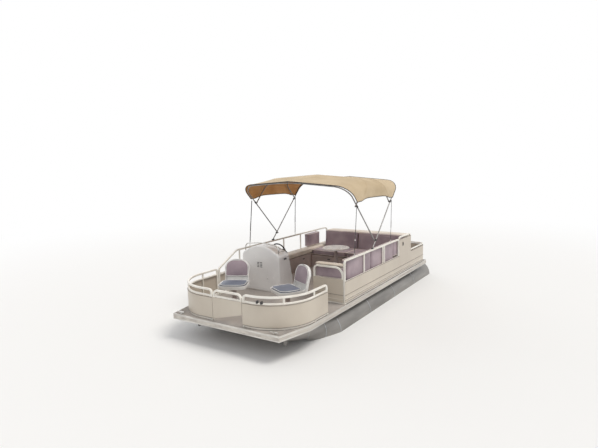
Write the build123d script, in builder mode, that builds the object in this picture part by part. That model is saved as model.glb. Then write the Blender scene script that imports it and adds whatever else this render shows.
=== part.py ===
from build123d import *
import os
from math import cos, radians, sin, tan

# A 6.1 m pontoon boat: two round aluminium tubes under a flat deck, panelled fences,
# a helm console, lounges, two swivel chairs, a folding sun top and a tilted outboard.
# +Z is up, the bow looks along -Y, and +X is to port. Lengths are in millimetres.
# The keels stand on z = 0. Places aboard are given as (across, aft, up):
# across from the centre line, aft from the deck's front edge, up from the deck's top.

# Hull
deck_length = 6100
deck_half = 1220
bow_half = deck_half - 140
bow_taper = 640
board_thickness = 19
trim_height = 88
trim_thickness = 9
trim_lip = 5
tube_radius = 305
tube_across = deck_half - 325
tube_overhang = 380
keel_width = 50
keel_height = 12
riser_height = 36
riser_width = 130
riser_wall = 6
channel_height = 64
channel_width = 80
channel_wall = 5
channel_spacing = 406
nose_start = 1650

# Fences
fence_half = deck_half - 42
rail_size = 32
cross_rail = 28
inner_post = 26
rail_edge = 6
panel_thickness = 4
panel_low = 34
bow_fence_aft = 83
bow_straight = 70
bow_fence_end = 1197
bow_rail_up = 499
bow_panel_up = 384
gate_port = 378
gate_starboard = -265
gate_gap = 12
rail_bend = 55
bow_corner = fence_half - gate_port - rail_bend - bow_straight
side_start = 1829
side_end = 4336
side_rail_up = 767
side_panel_up = 410
quarter_end = 5040
quarter_up = 806
stern_fence_aft = deck_length - 48
stern_rail_up = 445
stern_panel_up = 400
stern_corner = 160
stern_return = fence_half - 478
return_inboard = fence_half - 603
return_rail_up = 640

# Helm
console_port = -200
console_starboard = 63 - fence_half
console_front = 1850
console_depth = 430
console_shoulder = 690
console_peak = 885
dash_lean = 12
dash_foot_aft = 2260
dash_foot_up = 300
wheel_across = console_port - 300
wheel_stem = 75
wheel_up = 690
wheel_radius = 172
wheel_rim = 13

# Furniture
seat_base_height = 290
seat_cushion = 130
lounge_depth = 585
bench_depth = 260
back_thickness = 130
lounge_back_up = 755
furniture_gap = 6
rear_seat_front = 4130
rear_back_front = 4700
rear_back_up = 795
rear_top_end = 5180
table_radius = 290
table_up = 625
table_across = 50
table_aft = 3600
table_thickness = 28

# Swivel chairs
chair_seat_up = 380
chair_width = 470
chair_depth = 450
chair_shell = 9
chair_back_up = 800
pedestal_radius = 38
pedestal_base = 170

# Sun top
bow_tube = 11
sun_half = fence_half
sun_foot_aft = 3000
sun_foot_up = 800
main_lean = 44
main_crown = 1870
front_lean = 44
front_foot = 190
front_crown = 1676
fore_foot = 1040
aft_foot = 1190
mid_lean = 45
mid_crown = 757
sun_corner = 300
sun_crown_drop = 130
front_hem = front_crown - sun_crown_drop - sun_corner - 170
main_hem = main_crown - sun_crown_drop - sun_corner - 220
mid_hem = 50
sun_crown_radius = 2800
canopy_thickness = 10

# Outboard
transom_aft = deck_length + tube_overhang
transom_up = -95
tilt_stowed = 65

bow_y = -3750
tube_centre_up = keel_height + tube_radius
tube_top = keel_height + 2 * tube_radius
channel_low = tube_top + riser_height
board_low = channel_low + channel_height
deck_top = board_low + board_thickness
rail_half = rail_size / 2
panel_offset = rail_half + panel_thickness / 2

os.makedirs("parts", exist_ok=True)


def spot(across, aft, up):
    """Turn a place aboard into the model's frame."""
    return (across, bow_y + aft, deck_top + up)


def cross_plane(aft):
    """Plane across the boat, seen from the bow with x to port and y up."""
    return Plane(origin=(0, bow_y + aft, 0), x_dir=(1, 0, 0), z_dir=(0, -1, 0))


def side_plane(across):
    """Plane along the boat with x aft and y up, its normal to port."""
    return Plane(origin=(across, bow_y, deck_top), x_dir=(0, 1, 0), z_dir=(1, 0, 0))


def deck_plane(up):
    """Level plane with x to port and y aft from the deck's front edge."""
    return Plane(origin=(0, bow_y, deck_top + up), x_dir=(1, 0, 0), z_dir=(0, 0, 1))


def save(part, label):
    """Label a finished piece and write it as one STEP file."""
    part.label = label
    export_step(part, f"parts/{label}.step")


def square_tube(corners, bend, side, size=rail_size):
    """Square tube along straight runs and tangent bends; side is square to their plane."""
    with BuildLine() as run:
        if len(corners) == 2:
            Line(*corners)
        else:
            FilletPolyline(*corners, radius=bend)
    with BuildSketch(Plane(run.line @ 0, x_dir=side, z_dir=run.line % 0)) as cut:
        RectangleRounded(size, size, rail_edge)
    sweep(cut.sketch, path=run.line)


def posts(places, up):
    """Upright square tubes from the deck to the given height; places are (across, aft)."""
    for across, aft in places:
        square_tube([spot(across, aft, 0), spot(across, aft, up)], 0, (1, 0, 0), inner_post)


def plan_wall(corners, bend, thickness, low, high):
    """Thin upright wall that follows a line on the deck; corners are (across, aft)."""
    with BuildSketch(deck_plane(low)) as plan:
        with BuildLine():
            if len(corners) == 2:
                Line(*corners)
            else:
                FilletPolyline(*corners, radius=bend)
        trace(line_width=thickness)
    extrude(plan.sketch, amount=high - low)


# Pontoons: a rolled tube with a long raised nose and a keel strip
# aft, radius and centre height of each nose section
nose_sections = [(nose_start, tube_radius, tube_centre_up), (1300, 215, 407), (900, 125, 497), (330, 50, 572)]

pontoons = []
for name, side in (("port_pontoon", 1), ("starboard_pontoon", -1)):
    with BuildPart() as pontoon:
        tube_end = deck_length + tube_overhang
        with BuildSketch(cross_plane(nose_start)):
            with Locations((side * tube_across, tube_centre_up)):
                Circle(tube_radius)
        extrude(amount=nose_start - tube_end)
        chamfer(pontoon.faces().sort_by(Axis.Y)[-1].edges(), 35)
        for aft, radius, height in nose_sections:
            with BuildSketch(cross_plane(aft)):
                with Locations((side * tube_across, height)):
                    Circle(radius)
        loft(ruled=True)
        keel_length = tube_end - nose_start
        with Locations((side * tube_across, bow_y + nose_start + keel_length / 2, 0)):
            Box(keel_width, keel_length, keel_height + 4, align=(Align.CENTER, Align.CENTER, Align.MIN))
    save(pontoon.part, name)
    pontoons.append(pontoon.part)

# Bow eyes: a plate with a hole under each nose
bow_eye_hole = 11
bow_eye_size = 90
bow_eye_plate = 10
bow_eye_aft = 420
bow_eye_up = 478
with BuildPart() as bow_eyes:
    for side in (1, -1):
        eye = (side * tube_across, bow_y + bow_eye_aft, bow_eye_up)
        with BuildSketch(Plane(origin=eye, x_dir=(0, 1, 0), z_dir=(1, 0, 0))):
            RectangleRounded(bow_eye_size, bow_eye_size, 20)
            with Locations((-15, -22)):
                Circle(bow_eye_hole, mode=Mode.SUBTRACT)
        extrude(amount=bow_eye_plate / 2, both=True)
    add(pontoons, mode=Mode.SUBTRACT)
save(bow_eyes.part, "bow_eyes")

# Deck frame: risers on the tubes, hat channels across, ply deck and edge trim
with BuildPart() as risers:
    for side in (1, -1):
        riser_start = nose_start - 50
        with BuildSketch(cross_plane(riser_start)):
            with Locations((side * tube_across, channel_low - 40)):
                Rectangle(riser_width, 80)
            with Locations((side * tube_across, channel_low - riser_wall - 40)):
                Rectangle(riser_width - 2 * riser_wall, 80, mode=Mode.SUBTRACT)
            with Locations((side * tube_across, tube_centre_up)):
                Circle(tube_radius, mode=Mode.SUBTRACT)
        extrude(amount=riser_start - deck_length + 60)
save(risers.part, "risers")

channel_inset = trim_thickness + 20
channel_count = int((deck_length - 2 * bow_taper) // channel_spacing) + 1
with BuildPart() as cross_channels:
    channel_mid = board_low - channel_height / 2
    for index in range(channel_count):
        aft = bow_taper + 160 + index * channel_spacing
        with BuildSketch(Plane(origin=(0, bow_y + aft, channel_mid), x_dir=(0, 1, 0), z_dir=(1, 0, 0))):
            Rectangle(channel_width, channel_height)
            with Locations((0, -channel_wall)):
                Rectangle(channel_width - 2 * channel_wall, channel_height, mode=Mode.SUBTRACT)
        extrude(amount=deck_half - channel_inset, both=True)
    with Locations((0, bow_y + 60, channel_mid)):
        Box(2 * (bow_half - channel_inset), channel_wall * 8, channel_height)
save(cross_channels.part, "cross_channels")

deck_outline = [
    (-bow_half, 0),
    (bow_half, 0),
    (deck_half, bow_taper),
    (deck_half, deck_length),
    (-deck_half, deck_length),
    (-deck_half, bow_taper),
]
with BuildPart() as deck_board:
    with BuildSketch(deck_plane(-board_thickness)) as plan:
        with BuildLine():
            Polyline(*deck_outline, close=True)
        make_face()
        offset(amount=-trim_thickness, kind=Kind.INTERSECTION, mode=Mode.REPLACE)
    extrude(amount=board_thickness)
save(deck_board.part, "deck_board")

with BuildPart() as deck_trim:
    with BuildSketch(deck_plane(-trim_height)) as plan:
        with BuildLine():
            Polyline(*deck_outline, close=True)
        make_face()
        offset(amount=-trim_thickness, kind=Kind.INTERSECTION, mode=Mode.SUBTRACT)
    extrude(amount=trim_height + trim_lip)
save(deck_trim.part, "deck_trim")

# Motor pod between the tubes, with the transom board at its aft end
pod_half = 240
pod_front = 5150
pod_depth = 430
well_depth = 165
transom_rake = 12
transom_thickness = 42
pod_low = transom_up - pod_depth
with BuildPart() as motor_pod:
    with BuildSketch(side_plane(0)):
        with BuildLine():
            Polyline(
                (pod_front, channel_low - deck_top),
                (pod_front + 260, pod_low),
                (transom_aft - pod_depth * tan(radians(transom_rake)), pod_low),
                (transom_aft, transom_up),
                (transom_aft - transom_thickness, transom_up),
                (
                    transom_aft - transom_thickness - well_depth * tan(radians(transom_rake)),
                    transom_up - well_depth,
                ),
                (transom_aft - 240, transom_up - well_depth),
                (deck_length - 60, channel_low - deck_top),
                close=True,
            )
        make_face()
    extrude(amount=pod_half, both=True)
save(motor_pod.part, "motor_pod")

# Bow fences: a low curved panel under two rails, one each side of the gate
for name, side, gate_post in (("port", 1, gate_port), ("starboard", -1, -gate_starboard)):
    with BuildPart() as rails:
        upper = deck_top + bow_rail_up
        front = bow_y + bow_fence_aft
        end = bow_y + bow_fence_end
        post_x = side * gate_post
        wall_x = side * fence_half
        lead = rail_bend + 10
        square_tube([(post_x, front, deck_top), (post_x, front, upper), (post_x + side * lead, front, upper)],
                    rail_bend, (0, 1, 0))
        square_tube([(post_x + side * lead, front, upper), (wall_x, front, upper),
                     (wall_x, end - lead, upper)], bow_corner, (0, 0, 1))
        square_tube([(wall_x, end - lead, upper), (wall_x, end, upper), (wall_x, end, deck_top)],
                    rail_bend, (1, 0, 0))
        for level in (bow_panel_up + rail_half, rail_half + 2):
            height = deck_top + level
            square_tube([(post_x, front, height), (wall_x, front, height), (wall_x, end, height)],
                        bow_corner, (0, 0, 1), cross_rail)
        turn = (1 - sin(radians(45))) * bow_corner
        bend_aft = bow_fence_aft + bow_corner + 60
        posts([(side * (fence_half - turn), bow_fence_aft + turn), (wall_x, bend_aft)], bow_rail_up)
    save(rails.part, f"bow_rails_{name}")

with BuildPart() as bow_panels:
    for side, gate_post in ((1, gate_port), (-1, -gate_starboard)):
        front = bow_fence_aft - panel_offset
        line_x = side * (fence_half + panel_offset)
        plan_wall(
            [(side * (gate_post - rail_half), front), (line_x, front), (line_x, bow_fence_end + rail_half)],
            bow_corner + panel_offset, panel_thickness, panel_low, bow_panel_up,
        )
save(bow_panels.part, "bow_panels")

# Bow gate: a hinged frame between the two bow fences, its lower edge rising to the free side
gate_rail_up = bow_rail_up - 4
gate_hinge_x = gate_starboard + rail_half + gate_gap + rail_half
gate_free_x = gate_port - rail_half - gate_gap - rail_half
gate_pivot_x = gate_hinge_x - rail_half - gate_gap / 2
gate_pivot_aft = bow_fence_aft + rail_half + 6
gate_cut = 150
hinge_levels = (110, 310)
knuckle_half = 14
knuckle_gap = 0.5
knuckle_radius = 6


def gate_knuckle(low, length, toward):
    """Hinge knuckle on the gate's pivot with a leaf to the gate (+1) or the fence post (-1)."""
    with Locations((gate_pivot_x, bow_y + gate_pivot_aft, deck_top + low + length / 2)):
        Cylinder(knuckle_radius, length)
    leaf_y = bow_y + bow_fence_aft + rail_half + 1.5
    with Locations((gate_pivot_x + toward * 11, leaf_y, deck_top + low + length / 2)):
        Box(22, 3, length)


with BuildPart() as gate_frame:
    front = bow_y + bow_fence_aft
    low = deck_top + panel_low
    high = deck_top + gate_rail_up
    square_tube([(gate_hinge_x, front, low), (gate_hinge_x, front, high), (gate_free_x, front, high),
                 (gate_free_x, front, low + gate_cut)], 75, (0, 1, 0))
    level = deck_top + bow_panel_up + rail_half
    square_tube([(gate_hinge_x, front, level), (gate_free_x, front, level)], 0, (0, 1, 0), cross_rail)
    for level in hinge_levels:
        gate_knuckle(level - knuckle_half, 2 * knuckle_half, 1)
save(gate_frame.part, "gate_frame")
with BuildPart() as gate_hinges:
    for level in hinge_levels:
        for low in (level - 2 * knuckle_half - knuckle_gap, level + knuckle_half + knuckle_gap):
            gate_knuckle(low, knuckle_half, -1)
save(gate_hinges.part, "gate_hinges")
with BuildPart() as gate_panel:
    gate_face = (0, bow_y + bow_fence_aft - rail_half, deck_top)
    with BuildSketch(Plane(origin=gate_face, x_dir=(1, 0, 0), z_dir=(0, -1, 0))):
        with BuildLine():
            Polyline(
                (gate_hinge_x - rail_half, panel_low),
                (gate_free_x + rail_half, panel_low + gate_cut),
                (gate_free_x + rail_half, bow_panel_up),
                (gate_hinge_x - rail_half, bow_panel_up),
                close=True,
            )
        make_face()
    extrude(amount=panel_thickness)
save(gate_panel.part, "gate_panel")

# Side fences: a solid lower panel, an open upper half, posts and a rounded front end
starboard_start = 1250
starboard_end = deck_length - 700
side_posts = {"port": [2610, 3480, 3560], "starboard": [1860, 2640, 3400, 4100, starboard_end - 600]}
leg_up = side_rail_up - rail_bend
crossbar_levels = (side_panel_up - rail_half, rail_half + 2)
with BuildPart() as port_rail:
    square_tube([spot(fence_half, side_start + rail_bend, side_rail_up),
                 spot(fence_half, side_end - rail_bend, side_rail_up)], 0, (1, 0, 0))
save(port_rail.part, "side_rails_port")
with BuildPart() as port_elbows:
    for aft, turn in ((side_start, rail_bend), (side_end, -rail_bend)):
        foot = spot(fence_half, aft, leg_up)
        with BuildLine() as elbow_line:
            TangentArc(foot, spot(fence_half, aft + turn, side_rail_up), tangent=(0, 0, 1))
        with BuildSketch(Plane(origin=foot, x_dir=(1, 0, 0), z_dir=(0, 0, 1))) as elbow_cut:
            RectangleRounded(rail_size, rail_size, rail_edge)
        sweep(elbow_cut.sketch, path=elbow_line.line)
save(port_elbows.part, "side_elbows_port")
with BuildPart() as port_posts:
    for aft in (side_start, side_end):
        square_tube([spot(fence_half, aft, 0), spot(fence_half, aft, leg_up)], 0, (1, 0, 0))
    posts([(fence_half, aft) for aft in side_posts["port"]], side_rail_up - rail_half)
save(port_posts.part, "side_posts_port")
with BuildPart() as port_crossbars:
    uprights = [(aft, inner_post / 2) for aft in side_posts["port"]]
    uprights = [(side_start, rail_half)] + uprights + [(side_end, rail_half)]
    for (start, start_half), (end, end_half) in zip(uprights, uprights[1:]):
        for level in crossbar_levels:
            square_tube([spot(fence_half, start + start_half, level),
                         spot(fence_half, end - end_half, level)], 0, (1, 0, 0), cross_rail)
save(port_crossbars.part, "side_crossbars_port")
with BuildPart() as starboard_rails:
    wall_x = -fence_half
    square_tube([spot(wall_x, starboard_start, 0), spot(wall_x, starboard_start, bow_rail_up),
                 spot(wall_x, starboard_start + 520, side_rail_up), spot(wall_x, starboard_end, side_rail_up),
                 spot(wall_x, starboard_end, 0)], [rail_bend, 120, 150], (1, 0, 0))
    for level in crossbar_levels:
        square_tube([spot(wall_x, starboard_start, level), spot(wall_x, starboard_end, level)],
                    0, (1, 0, 0), cross_rail)
    posts([(wall_x, aft) for aft in side_posts["starboard"]], side_rail_up)
save(starboard_rails.part, "side_rails_starboard")

# Return fence: the short wall across the deck at the front of the port lounge
with BuildPart() as return_rails:
    outer = fence_half - rail_size - 4
    square_tube([spot(return_inboard, side_start, 0), spot(return_inboard, side_start, return_rail_up),
                 spot(outer, side_start, return_rail_up), spot(outer, side_start, 0)], [70, 140], (0, 1, 0))
    for level in (side_panel_up + rail_half, rail_half + 2):
        square_tube([spot(return_inboard, side_start, level), spot(outer, side_start, level)],
                    0, (0, 1, 0), cross_rail)
save(return_rails.part, "return_rails")
with BuildPart() as side_panels:
    for side, start, end in ((1, side_start, side_end), (-1, starboard_start, starboard_end)):
        line_x = side * (fence_half + panel_offset)
        ends = [(line_x, start - rail_half), (line_x, end + rail_half)]
        plan_wall(ends, 0, panel_thickness, panel_low, side_panel_up)
    return_aft = side_start - panel_offset
    ends = [(return_inboard - rail_half, return_aft), (outer + rail_half, return_aft)]
    plan_wall(ends, 0, panel_thickness, panel_low, side_panel_up + rail_size)
save(side_panels.part, "side_panels")

# Quarter panels beside the rear lounge, then low fences round the stern corners
for name, side, frame_end in (("port", 1, side_end), ("starboard", -1, starboard_end)):
    wall_x = side * fence_half
    start = frame_end + rail_size + 4
    quarter = quarter_end if side == 1 else start
    with BuildPart() as rails:
        if side == 1:
            square_tube([spot(wall_x, start, 0), spot(wall_x, start, quarter_up),
                         spot(wall_x, quarter, quarter_up), spot(wall_x, quarter, 0)], rail_bend, (1, 0, 0))
        else:
            posts([(wall_x, quarter)], stern_rail_up)
        for level in (stern_rail_up - rail_half, rail_half + 2):
            square_tube([spot(wall_x, quarter, level), spot(wall_x, stern_fence_aft, level),
                         spot(side * stern_return, stern_fence_aft, level)],
                        stern_corner, (0, 0, 1), cross_rail)
        if side == 1:
            square_tube([spot(wall_x, start, rail_half + 2), spot(wall_x, quarter, rail_half + 2)],
                        0, (1, 0, 0), cross_rail)
        corner_post = (wall_x, stern_fence_aft - stern_corner - 40)
        posts([(side * stern_return, stern_fence_aft), corner_post], stern_rail_up)
    save(rails.part, f"stern_rails_{name}")

with BuildPart() as stern_panels:
    for side, quarter in ((1, quarter_end), (-1, starboard_end + rail_size + 4)):
        line_x = side * (fence_half + panel_offset)
        end_aft = stern_fence_aft + panel_offset
        plan_wall(
            [(line_x, quarter + rail_half), (line_x, end_aft), (side * (stern_return - rail_half), end_aft)],
            stern_corner + panel_offset, panel_thickness, panel_low, stern_panel_up,
        )
    line_x = fence_half + panel_offset
    ends = [(line_x, side_end + rail_half + 4), (line_x, quarter_end + rail_half)]
    plan_wall(ends, 0, panel_thickness, panel_low, quarter_up - 40)
save(stern_panels.part, "stern_panels")

# Helm console: a moulded housing with an arched top and a sloping dash
console_mid = (console_port + console_starboard) / 2
console_half = (console_port - console_starboard) / 2


def dash_aft_at(up):
    """How far aft the sloping dash face is at a height."""
    return dash_foot_aft - (up - dash_foot_up) * tan(radians(dash_lean))


with BuildPart() as console:
    with BuildSketch(cross_plane(console_front)):
        with BuildLine():
            foot_left = (console_mid - console_half, deck_top)
            foot_right = (console_mid + console_half, deck_top)
            shoulder_left = (console_mid - console_half + 15, deck_top + console_shoulder - 40)
            shoulder_right = (console_mid + console_half - 15, deck_top + console_shoulder - 40)
            arch_left = (console_mid - console_half + 110, deck_top + console_shoulder + 75)
            arch_right = (console_mid + console_half - 110, deck_top + console_shoulder + 75)
            Polyline(shoulder_left, foot_left, foot_right, shoulder_right)
            round_up = deck_top + console_shoulder + 34
            ThreePointArc(shoulder_left, (shoulder_left[0] + 22, round_up), arch_left)
            ThreePointArc(arch_left, (console_mid, deck_top + console_peak), arch_right)
            ThreePointArc(arch_right, (shoulder_right[0] - 22, round_up), shoulder_right)
        make_face()
    extrude(amount=-console_depth)
    front_edges = console.faces().sort_by(Axis.Y)[0].edges()
    fillet(front_edges.filter_by(lambda edge: edge.center().Z > deck_top + 10), 28)
    with BuildSketch(side_plane(console_starboard - 10)) as dash_cut:
        with BuildLine():
            Polyline((dash_aft_at(console_peak + 20), console_peak + 20),
                     (console_front + console_depth + 10, console_peak + 20),
                     (console_front + console_depth + 10, dash_foot_up - 40),
                     (dash_foot_aft, dash_foot_up),
                     close=True)
        make_face()
    extrude(amount=2 * console_half + 20, mode=Mode.SUBTRACT)
save(console.part, "helm_console")

dash_face = Plane(
    origin=spot(wheel_across, dash_aft_at(wheel_up), wheel_up),
    x_dir=(-1, 0, 0),
    z_dir=(0, cos(radians(dash_lean)), sin(radians(dash_lean))),
)
hub_radius = 30
stem_radius = 22
stem_length = wheel_stem - 25
with BuildPart() as dash_panel:
    with BuildSketch(dash_face):
        with Locations((60, -10)):
            RectangleRounded(640, 170, 30)
    extrude(amount=8)
    with BuildSketch(dash_face.offset(8)):
        Circle(stem_radius)
    extrude(amount=stem_length - 8)
    with BuildSketch(dash_face.offset(8)):
        with Locations((-170, 10), (210, 15), (310, 15)):
            Circle(38)
    extrude(amount=8)
    with BuildSketch(dash_face.offset(8)):
        with Locations((130, -55)):
            RectangleRounded(60, 40, 8)
    extrude(amount=30)
save(dash_panel.part, "dash_panel")

with BuildPart() as steering_wheel:
    wheel_plane = dash_face.offset(wheel_stem)
    with BuildSketch(Plane(origin=wheel_plane.origin, x_dir=wheel_plane.x_dir, z_dir=-wheel_plane.y_dir)):
        with Locations((wheel_radius, 0)):
            Circle(wheel_rim)
    revolve(axis=Axis(wheel_plane.origin, wheel_plane.z_dir))
    with BuildSketch(wheel_plane.offset(-24.5)):
        Circle(hub_radius)
    extrude(amount=34)
    with BuildSketch(wheel_plane.offset(-5)):
        for angle in (30, 150, 270):
            with Locations(Rot(0, 0, angle) * Pos(wheel_radius / 2, 0, 0)):
                Rectangle(wheel_radius, 26)
        Circle(hub_radius - 2)
    extrude(amount=9)
save(steering_wheel.part, "steering_wheel")

# Grab rail over the console's arch
with BuildPart() as console_rail:
    foot = console_half - 60
    rail_plane = cross_plane(console_front + 60)
    with BuildLine(rail_plane) as run:
        FilletPolyline(
            (console_mid - foot, deck_top + console_shoulder + 30),
            (console_mid - foot, deck_top + console_peak + 10),
            (console_mid, deck_top + console_peak + 48),
            (console_mid + foot, deck_top + console_peak + 10),
            (console_mid + foot, deck_top + console_shoulder + 30),
            radius=[90, 600, 90],
        )
    with BuildSketch(Plane(run.line @ 0, z_dir=run.line % 0)) as cut:
        Circle(bow_tube)
    sweep(cut.sketch, path=run.line)
    add(console.part, mode=Mode.SUBTRACT)
save(console_rail.part, "console_rail")

# Lounges: moulded bases, loose seat and back cushions, and a rear pad
inner_wall = fence_half - rail_half - furniture_gap
rear_half = inner_wall - 21
lounge_start = side_start + rail_half + furniture_gap
lounge_inner = inner_wall - lounge_depth
lounge_end = rear_seat_front - furniture_gap
bench_start = 2480
bench_base_height = 330
bench_top_up = 440
rear_low = -inner_wall + bench_depth + furniture_gap


def block(across, aft, up, edge):
    """Box from ranges across, aft and up, with its upright edges rounded."""
    with BuildSketch(deck_plane(up[0])) as plan:
        with Locations(((across[0] + across[1]) / 2, (aft[0] + aft[1]) / 2)):
            RectangleRounded(across[1] - across[0], aft[1] - aft[0], edge)
    extrude(plan.sketch, amount=up[1] - up[0])


bench_across = (-inner_wall, -inner_wall + bench_depth)
port_mid = (lounge_start + lounge_end) / 2
seat_top = seat_base_height + seat_cushion
rear_pad_low = rear_back_up - 110
with BuildPart() as lounge_bases:
    block((lounge_inner, inner_wall), (lounge_start, lounge_end), (0, seat_base_height), 25)
    block(bench_across, (bench_start, rear_top_end), (0, bench_base_height), 25)
    with BuildSketch(side_plane(rear_low)) as rear_side:
        with BuildLine():
            Polyline(
                (rear_seat_front, 0),
                (rear_seat_front, seat_base_height),
                (rear_back_front + 60, seat_base_height),
                (rear_back_front + 150, rear_pad_low),
                (rear_top_end, rear_pad_low),
                (rear_top_end, 0),
                close=True,
            )
        make_face()
    extrude(rear_side.sketch, amount=rear_half - rear_low)
save(lounge_bases.part, "lounge_bases")

with BuildPart() as seat_cushions:
    for aft in ((lounge_start, port_mid - 2), (port_mid + 2, lounge_end)):
        block((lounge_inner, inner_wall - back_thickness), aft, (seat_base_height, seat_top), 30)
    for across in ((rear_low, -2), (2, rear_half)):
        block(across, (rear_seat_front, rear_back_front), (seat_base_height, seat_top), 30)
save(seat_cushions.part, "seat_cushions")

with BuildPart() as back_cushions:
    for aft in ((lounge_start + 140, port_mid - 2), (port_mid + 2, lounge_end)):
        block((inner_wall - back_thickness + 3, inner_wall), aft, (seat_base_height + 3, lounge_back_up), 30)
    block((lounge_inner, inner_wall - 10), (lounge_start, lounge_start + 130), (seat_top + 3, 650), 30)
    block((-inner_wall, -inner_wall + back_thickness), (4215, 4775), (bench_top_up + 2, lounge_back_up), 30)
    for low, high in ((rear_low, -2), (2, rear_half)):
        with BuildSketch(side_plane(low)) as back_side:
            with BuildLine():
                Polyline(
                    (rear_back_front + 3, seat_base_height + 2),
                    (rear_back_front + 45, rear_back_up),
                    (rear_back_front + 168, rear_back_up),
                    (rear_back_front + 168, rear_pad_low + 3),
                    (rear_back_front + 148, rear_pad_low + 3),
                    (rear_back_front + 57, seat_base_height + 2),
                    close=True,
                )
            make_face()
        extrude(back_side.sketch, amount=high - low)
save(back_cushions.part, "back_cushions")

with BuildPart() as cream_pads:
    block(bench_across, (bench_start, rear_top_end), (bench_base_height, bench_top_up), 30)
    block((rear_low, rear_half), (rear_back_front + 171, rear_top_end), (rear_pad_low, rear_back_up), 30)
    block((lounge_inner, inner_wall - 10), (lounge_start, lounge_start + 134), (650, 690), 30)
save(cream_pads.part, "cream_pads")

# Round table on a pedestal
with BuildPart() as table_top:
    with BuildSketch(Plane(origin=spot(table_across, table_aft, table_up - table_thickness))):
        Circle(table_radius)
    extrude(amount=table_thickness)
    chamfer(table_top.edges().filter_by(GeomType.CIRCLE), 7)
save(table_top.part, "table_top")
with BuildPart() as table_pedestal:
    with BuildSketch(Plane(origin=spot(table_across, table_aft, 0))):
        Circle(130)
    extrude(amount=10)
    with BuildSketch(Plane(origin=spot(table_across, table_aft, 0))):
        Circle(32)
    extrude(amount=table_up - table_thickness)
    with BuildSketch(Plane(origin=spot(table_across, table_aft, table_up - table_thickness - 8))):
        Circle(90)
    extrude(amount=8)
save(table_pedestal.part, "table_pedestal")

# Swivel chairs: a moulded shell with two pads on a pedestal
# name, across, aft and turn from facing the bow
chairs = [("starboard", -360, 730, 28), ("port", 640, 880, -28)]
chair_lean = 14
swivel_gap = 0.5
swivel_boss = 15
pan_rise = 62
with BuildPart() as chair_pedestals:
    for name, across, aft, turn in chairs:
        pedestal_top = chair_seat_up - swivel_boss - swivel_gap
        for radius, low, high in ((pedestal_base, 0, 12), (pedestal_radius, 0, pedestal_top)):
            with BuildSketch(Plane(origin=spot(across, aft, low))):
                Circle(radius)
            extrude(amount=high - low)
save(chair_pedestals.part, "chair_pedestals")

for name, across, aft, turn in chairs:
    right = (cos(radians(turn)), sin(radians(turn)), 0)
    seat = Plane(origin=spot(across, aft, chair_seat_up), x_dir=right, z_dir=(0, 0, 1))
    lean_up = seat.z_dir * sin(radians(chair_lean)) - seat.y_dir * cos(radians(chair_lean))
    back_foot = seat.from_local_coords(Vector(0, chair_depth / 2 - 20, 10))
    back = Plane(origin=back_foot, x_dir=right, z_dir=lean_up)
    back_height = (chair_back_up - chair_seat_up - 10) / cos(radians(chair_lean))

    def back_outline(inset):
        """Arched outline of the chair's back, drawn in by the inset."""
        half = chair_width / 2 - 18 - inset
        top = back_height - inset
        Polyline((-half + 12, 140), (-half + 6, inset), (half - 6, inset), (half - 12, 140))
        shoulder = top - 150
        Line((-half + 12, 140), (-half, shoulder))
        Line((half - 12, 140), (half, shoulder))
        ThreePointArc((-half, shoulder), (-half * 0.72, top - 42), (-half * 0.4, top - 8))
        ThreePointArc((-half * 0.4, top - 8), (0, top), (half * 0.4, top - 8))
        ThreePointArc((half * 0.4, top - 8), (half * 0.72, top - 42), (half, shoulder))

    with BuildPart() as chair_shell_part:
        with BuildSketch(seat):
            RectangleRounded(chair_width, chair_depth, 110)
        extrude(amount=pan_rise, taper=-8)
        with BuildSketch(seat.offset(chair_shell)):
            RectangleRounded(chair_width - 2 * chair_shell, chair_depth - 2 * chair_shell, 110 - chair_shell)
        extrude(amount=pan_rise, taper=-8, mode=Mode.SUBTRACT)
        with BuildSketch(back):
            with BuildLine():
                back_outline(0)
            make_face()
        extrude(amount=-chair_shell * 5)
        with BuildSketch(back):
            with BuildLine():
                back_outline(chair_shell + 2)
            make_face()
        extrude(amount=-chair_shell * 4, mode=Mode.SUBTRACT)
        with BuildSketch(seat.offset(-swivel_boss)):
            Circle(70)
        extrude(amount=swivel_boss)
    save(chair_shell_part.part, f"chair_shell_{name}")
    with BuildPart() as chair_pads:
        with BuildSketch(seat.offset(chair_shell + 1)):
            with Locations((0, -26)):
                RectangleRounded(chair_width - 2 * chair_shell - 8, chair_depth - 2 * chair_shell - 60, 90)
        extrude(amount=85, taper=-4)
        with BuildSketch(back.offset(-chair_shell * 4 + 2)):
            with BuildLine():
                back_outline(chair_shell + 8)
            make_face()
            Rectangle(chair_width, 2 * 120, mode=Mode.SUBTRACT)
        extrude(amount=chair_shell * 4 + 16)
    save(chair_pads.part, f"chair_pads_{name}")

# Sun top: four tube bows, a fabric canopy, hold-down straps and rail feet
def bow_plane(foot, lean, forward):
    """Plane of a bow: x to port and y along its legs; foot is (aft, up)."""
    rise = radians(lean)
    along = -1 if forward else 1
    return Plane(origin=spot(0, foot[0], foot[1]), x_dir=(1, 0, 0),
                 z_dir=Vector(1, 0, 0).cross(Vector(0, along * cos(rise), sin(rise))))


def along_main(distance):
    """Place (aft, up) on the main bow's leg at a distance from its foot."""
    rise = radians(main_lean)
    return (sun_foot_aft + distance * cos(rise), sun_foot_up + distance * sin(rise))


def along_front(distance):
    """Place (aft, up) on the front bow's leg at a distance from its foot."""
    rise = radians(front_lean)
    foot_aft, foot_up = along_main(front_foot)
    return (foot_aft - distance * cos(rise), foot_up + distance * sin(rise))


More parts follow.
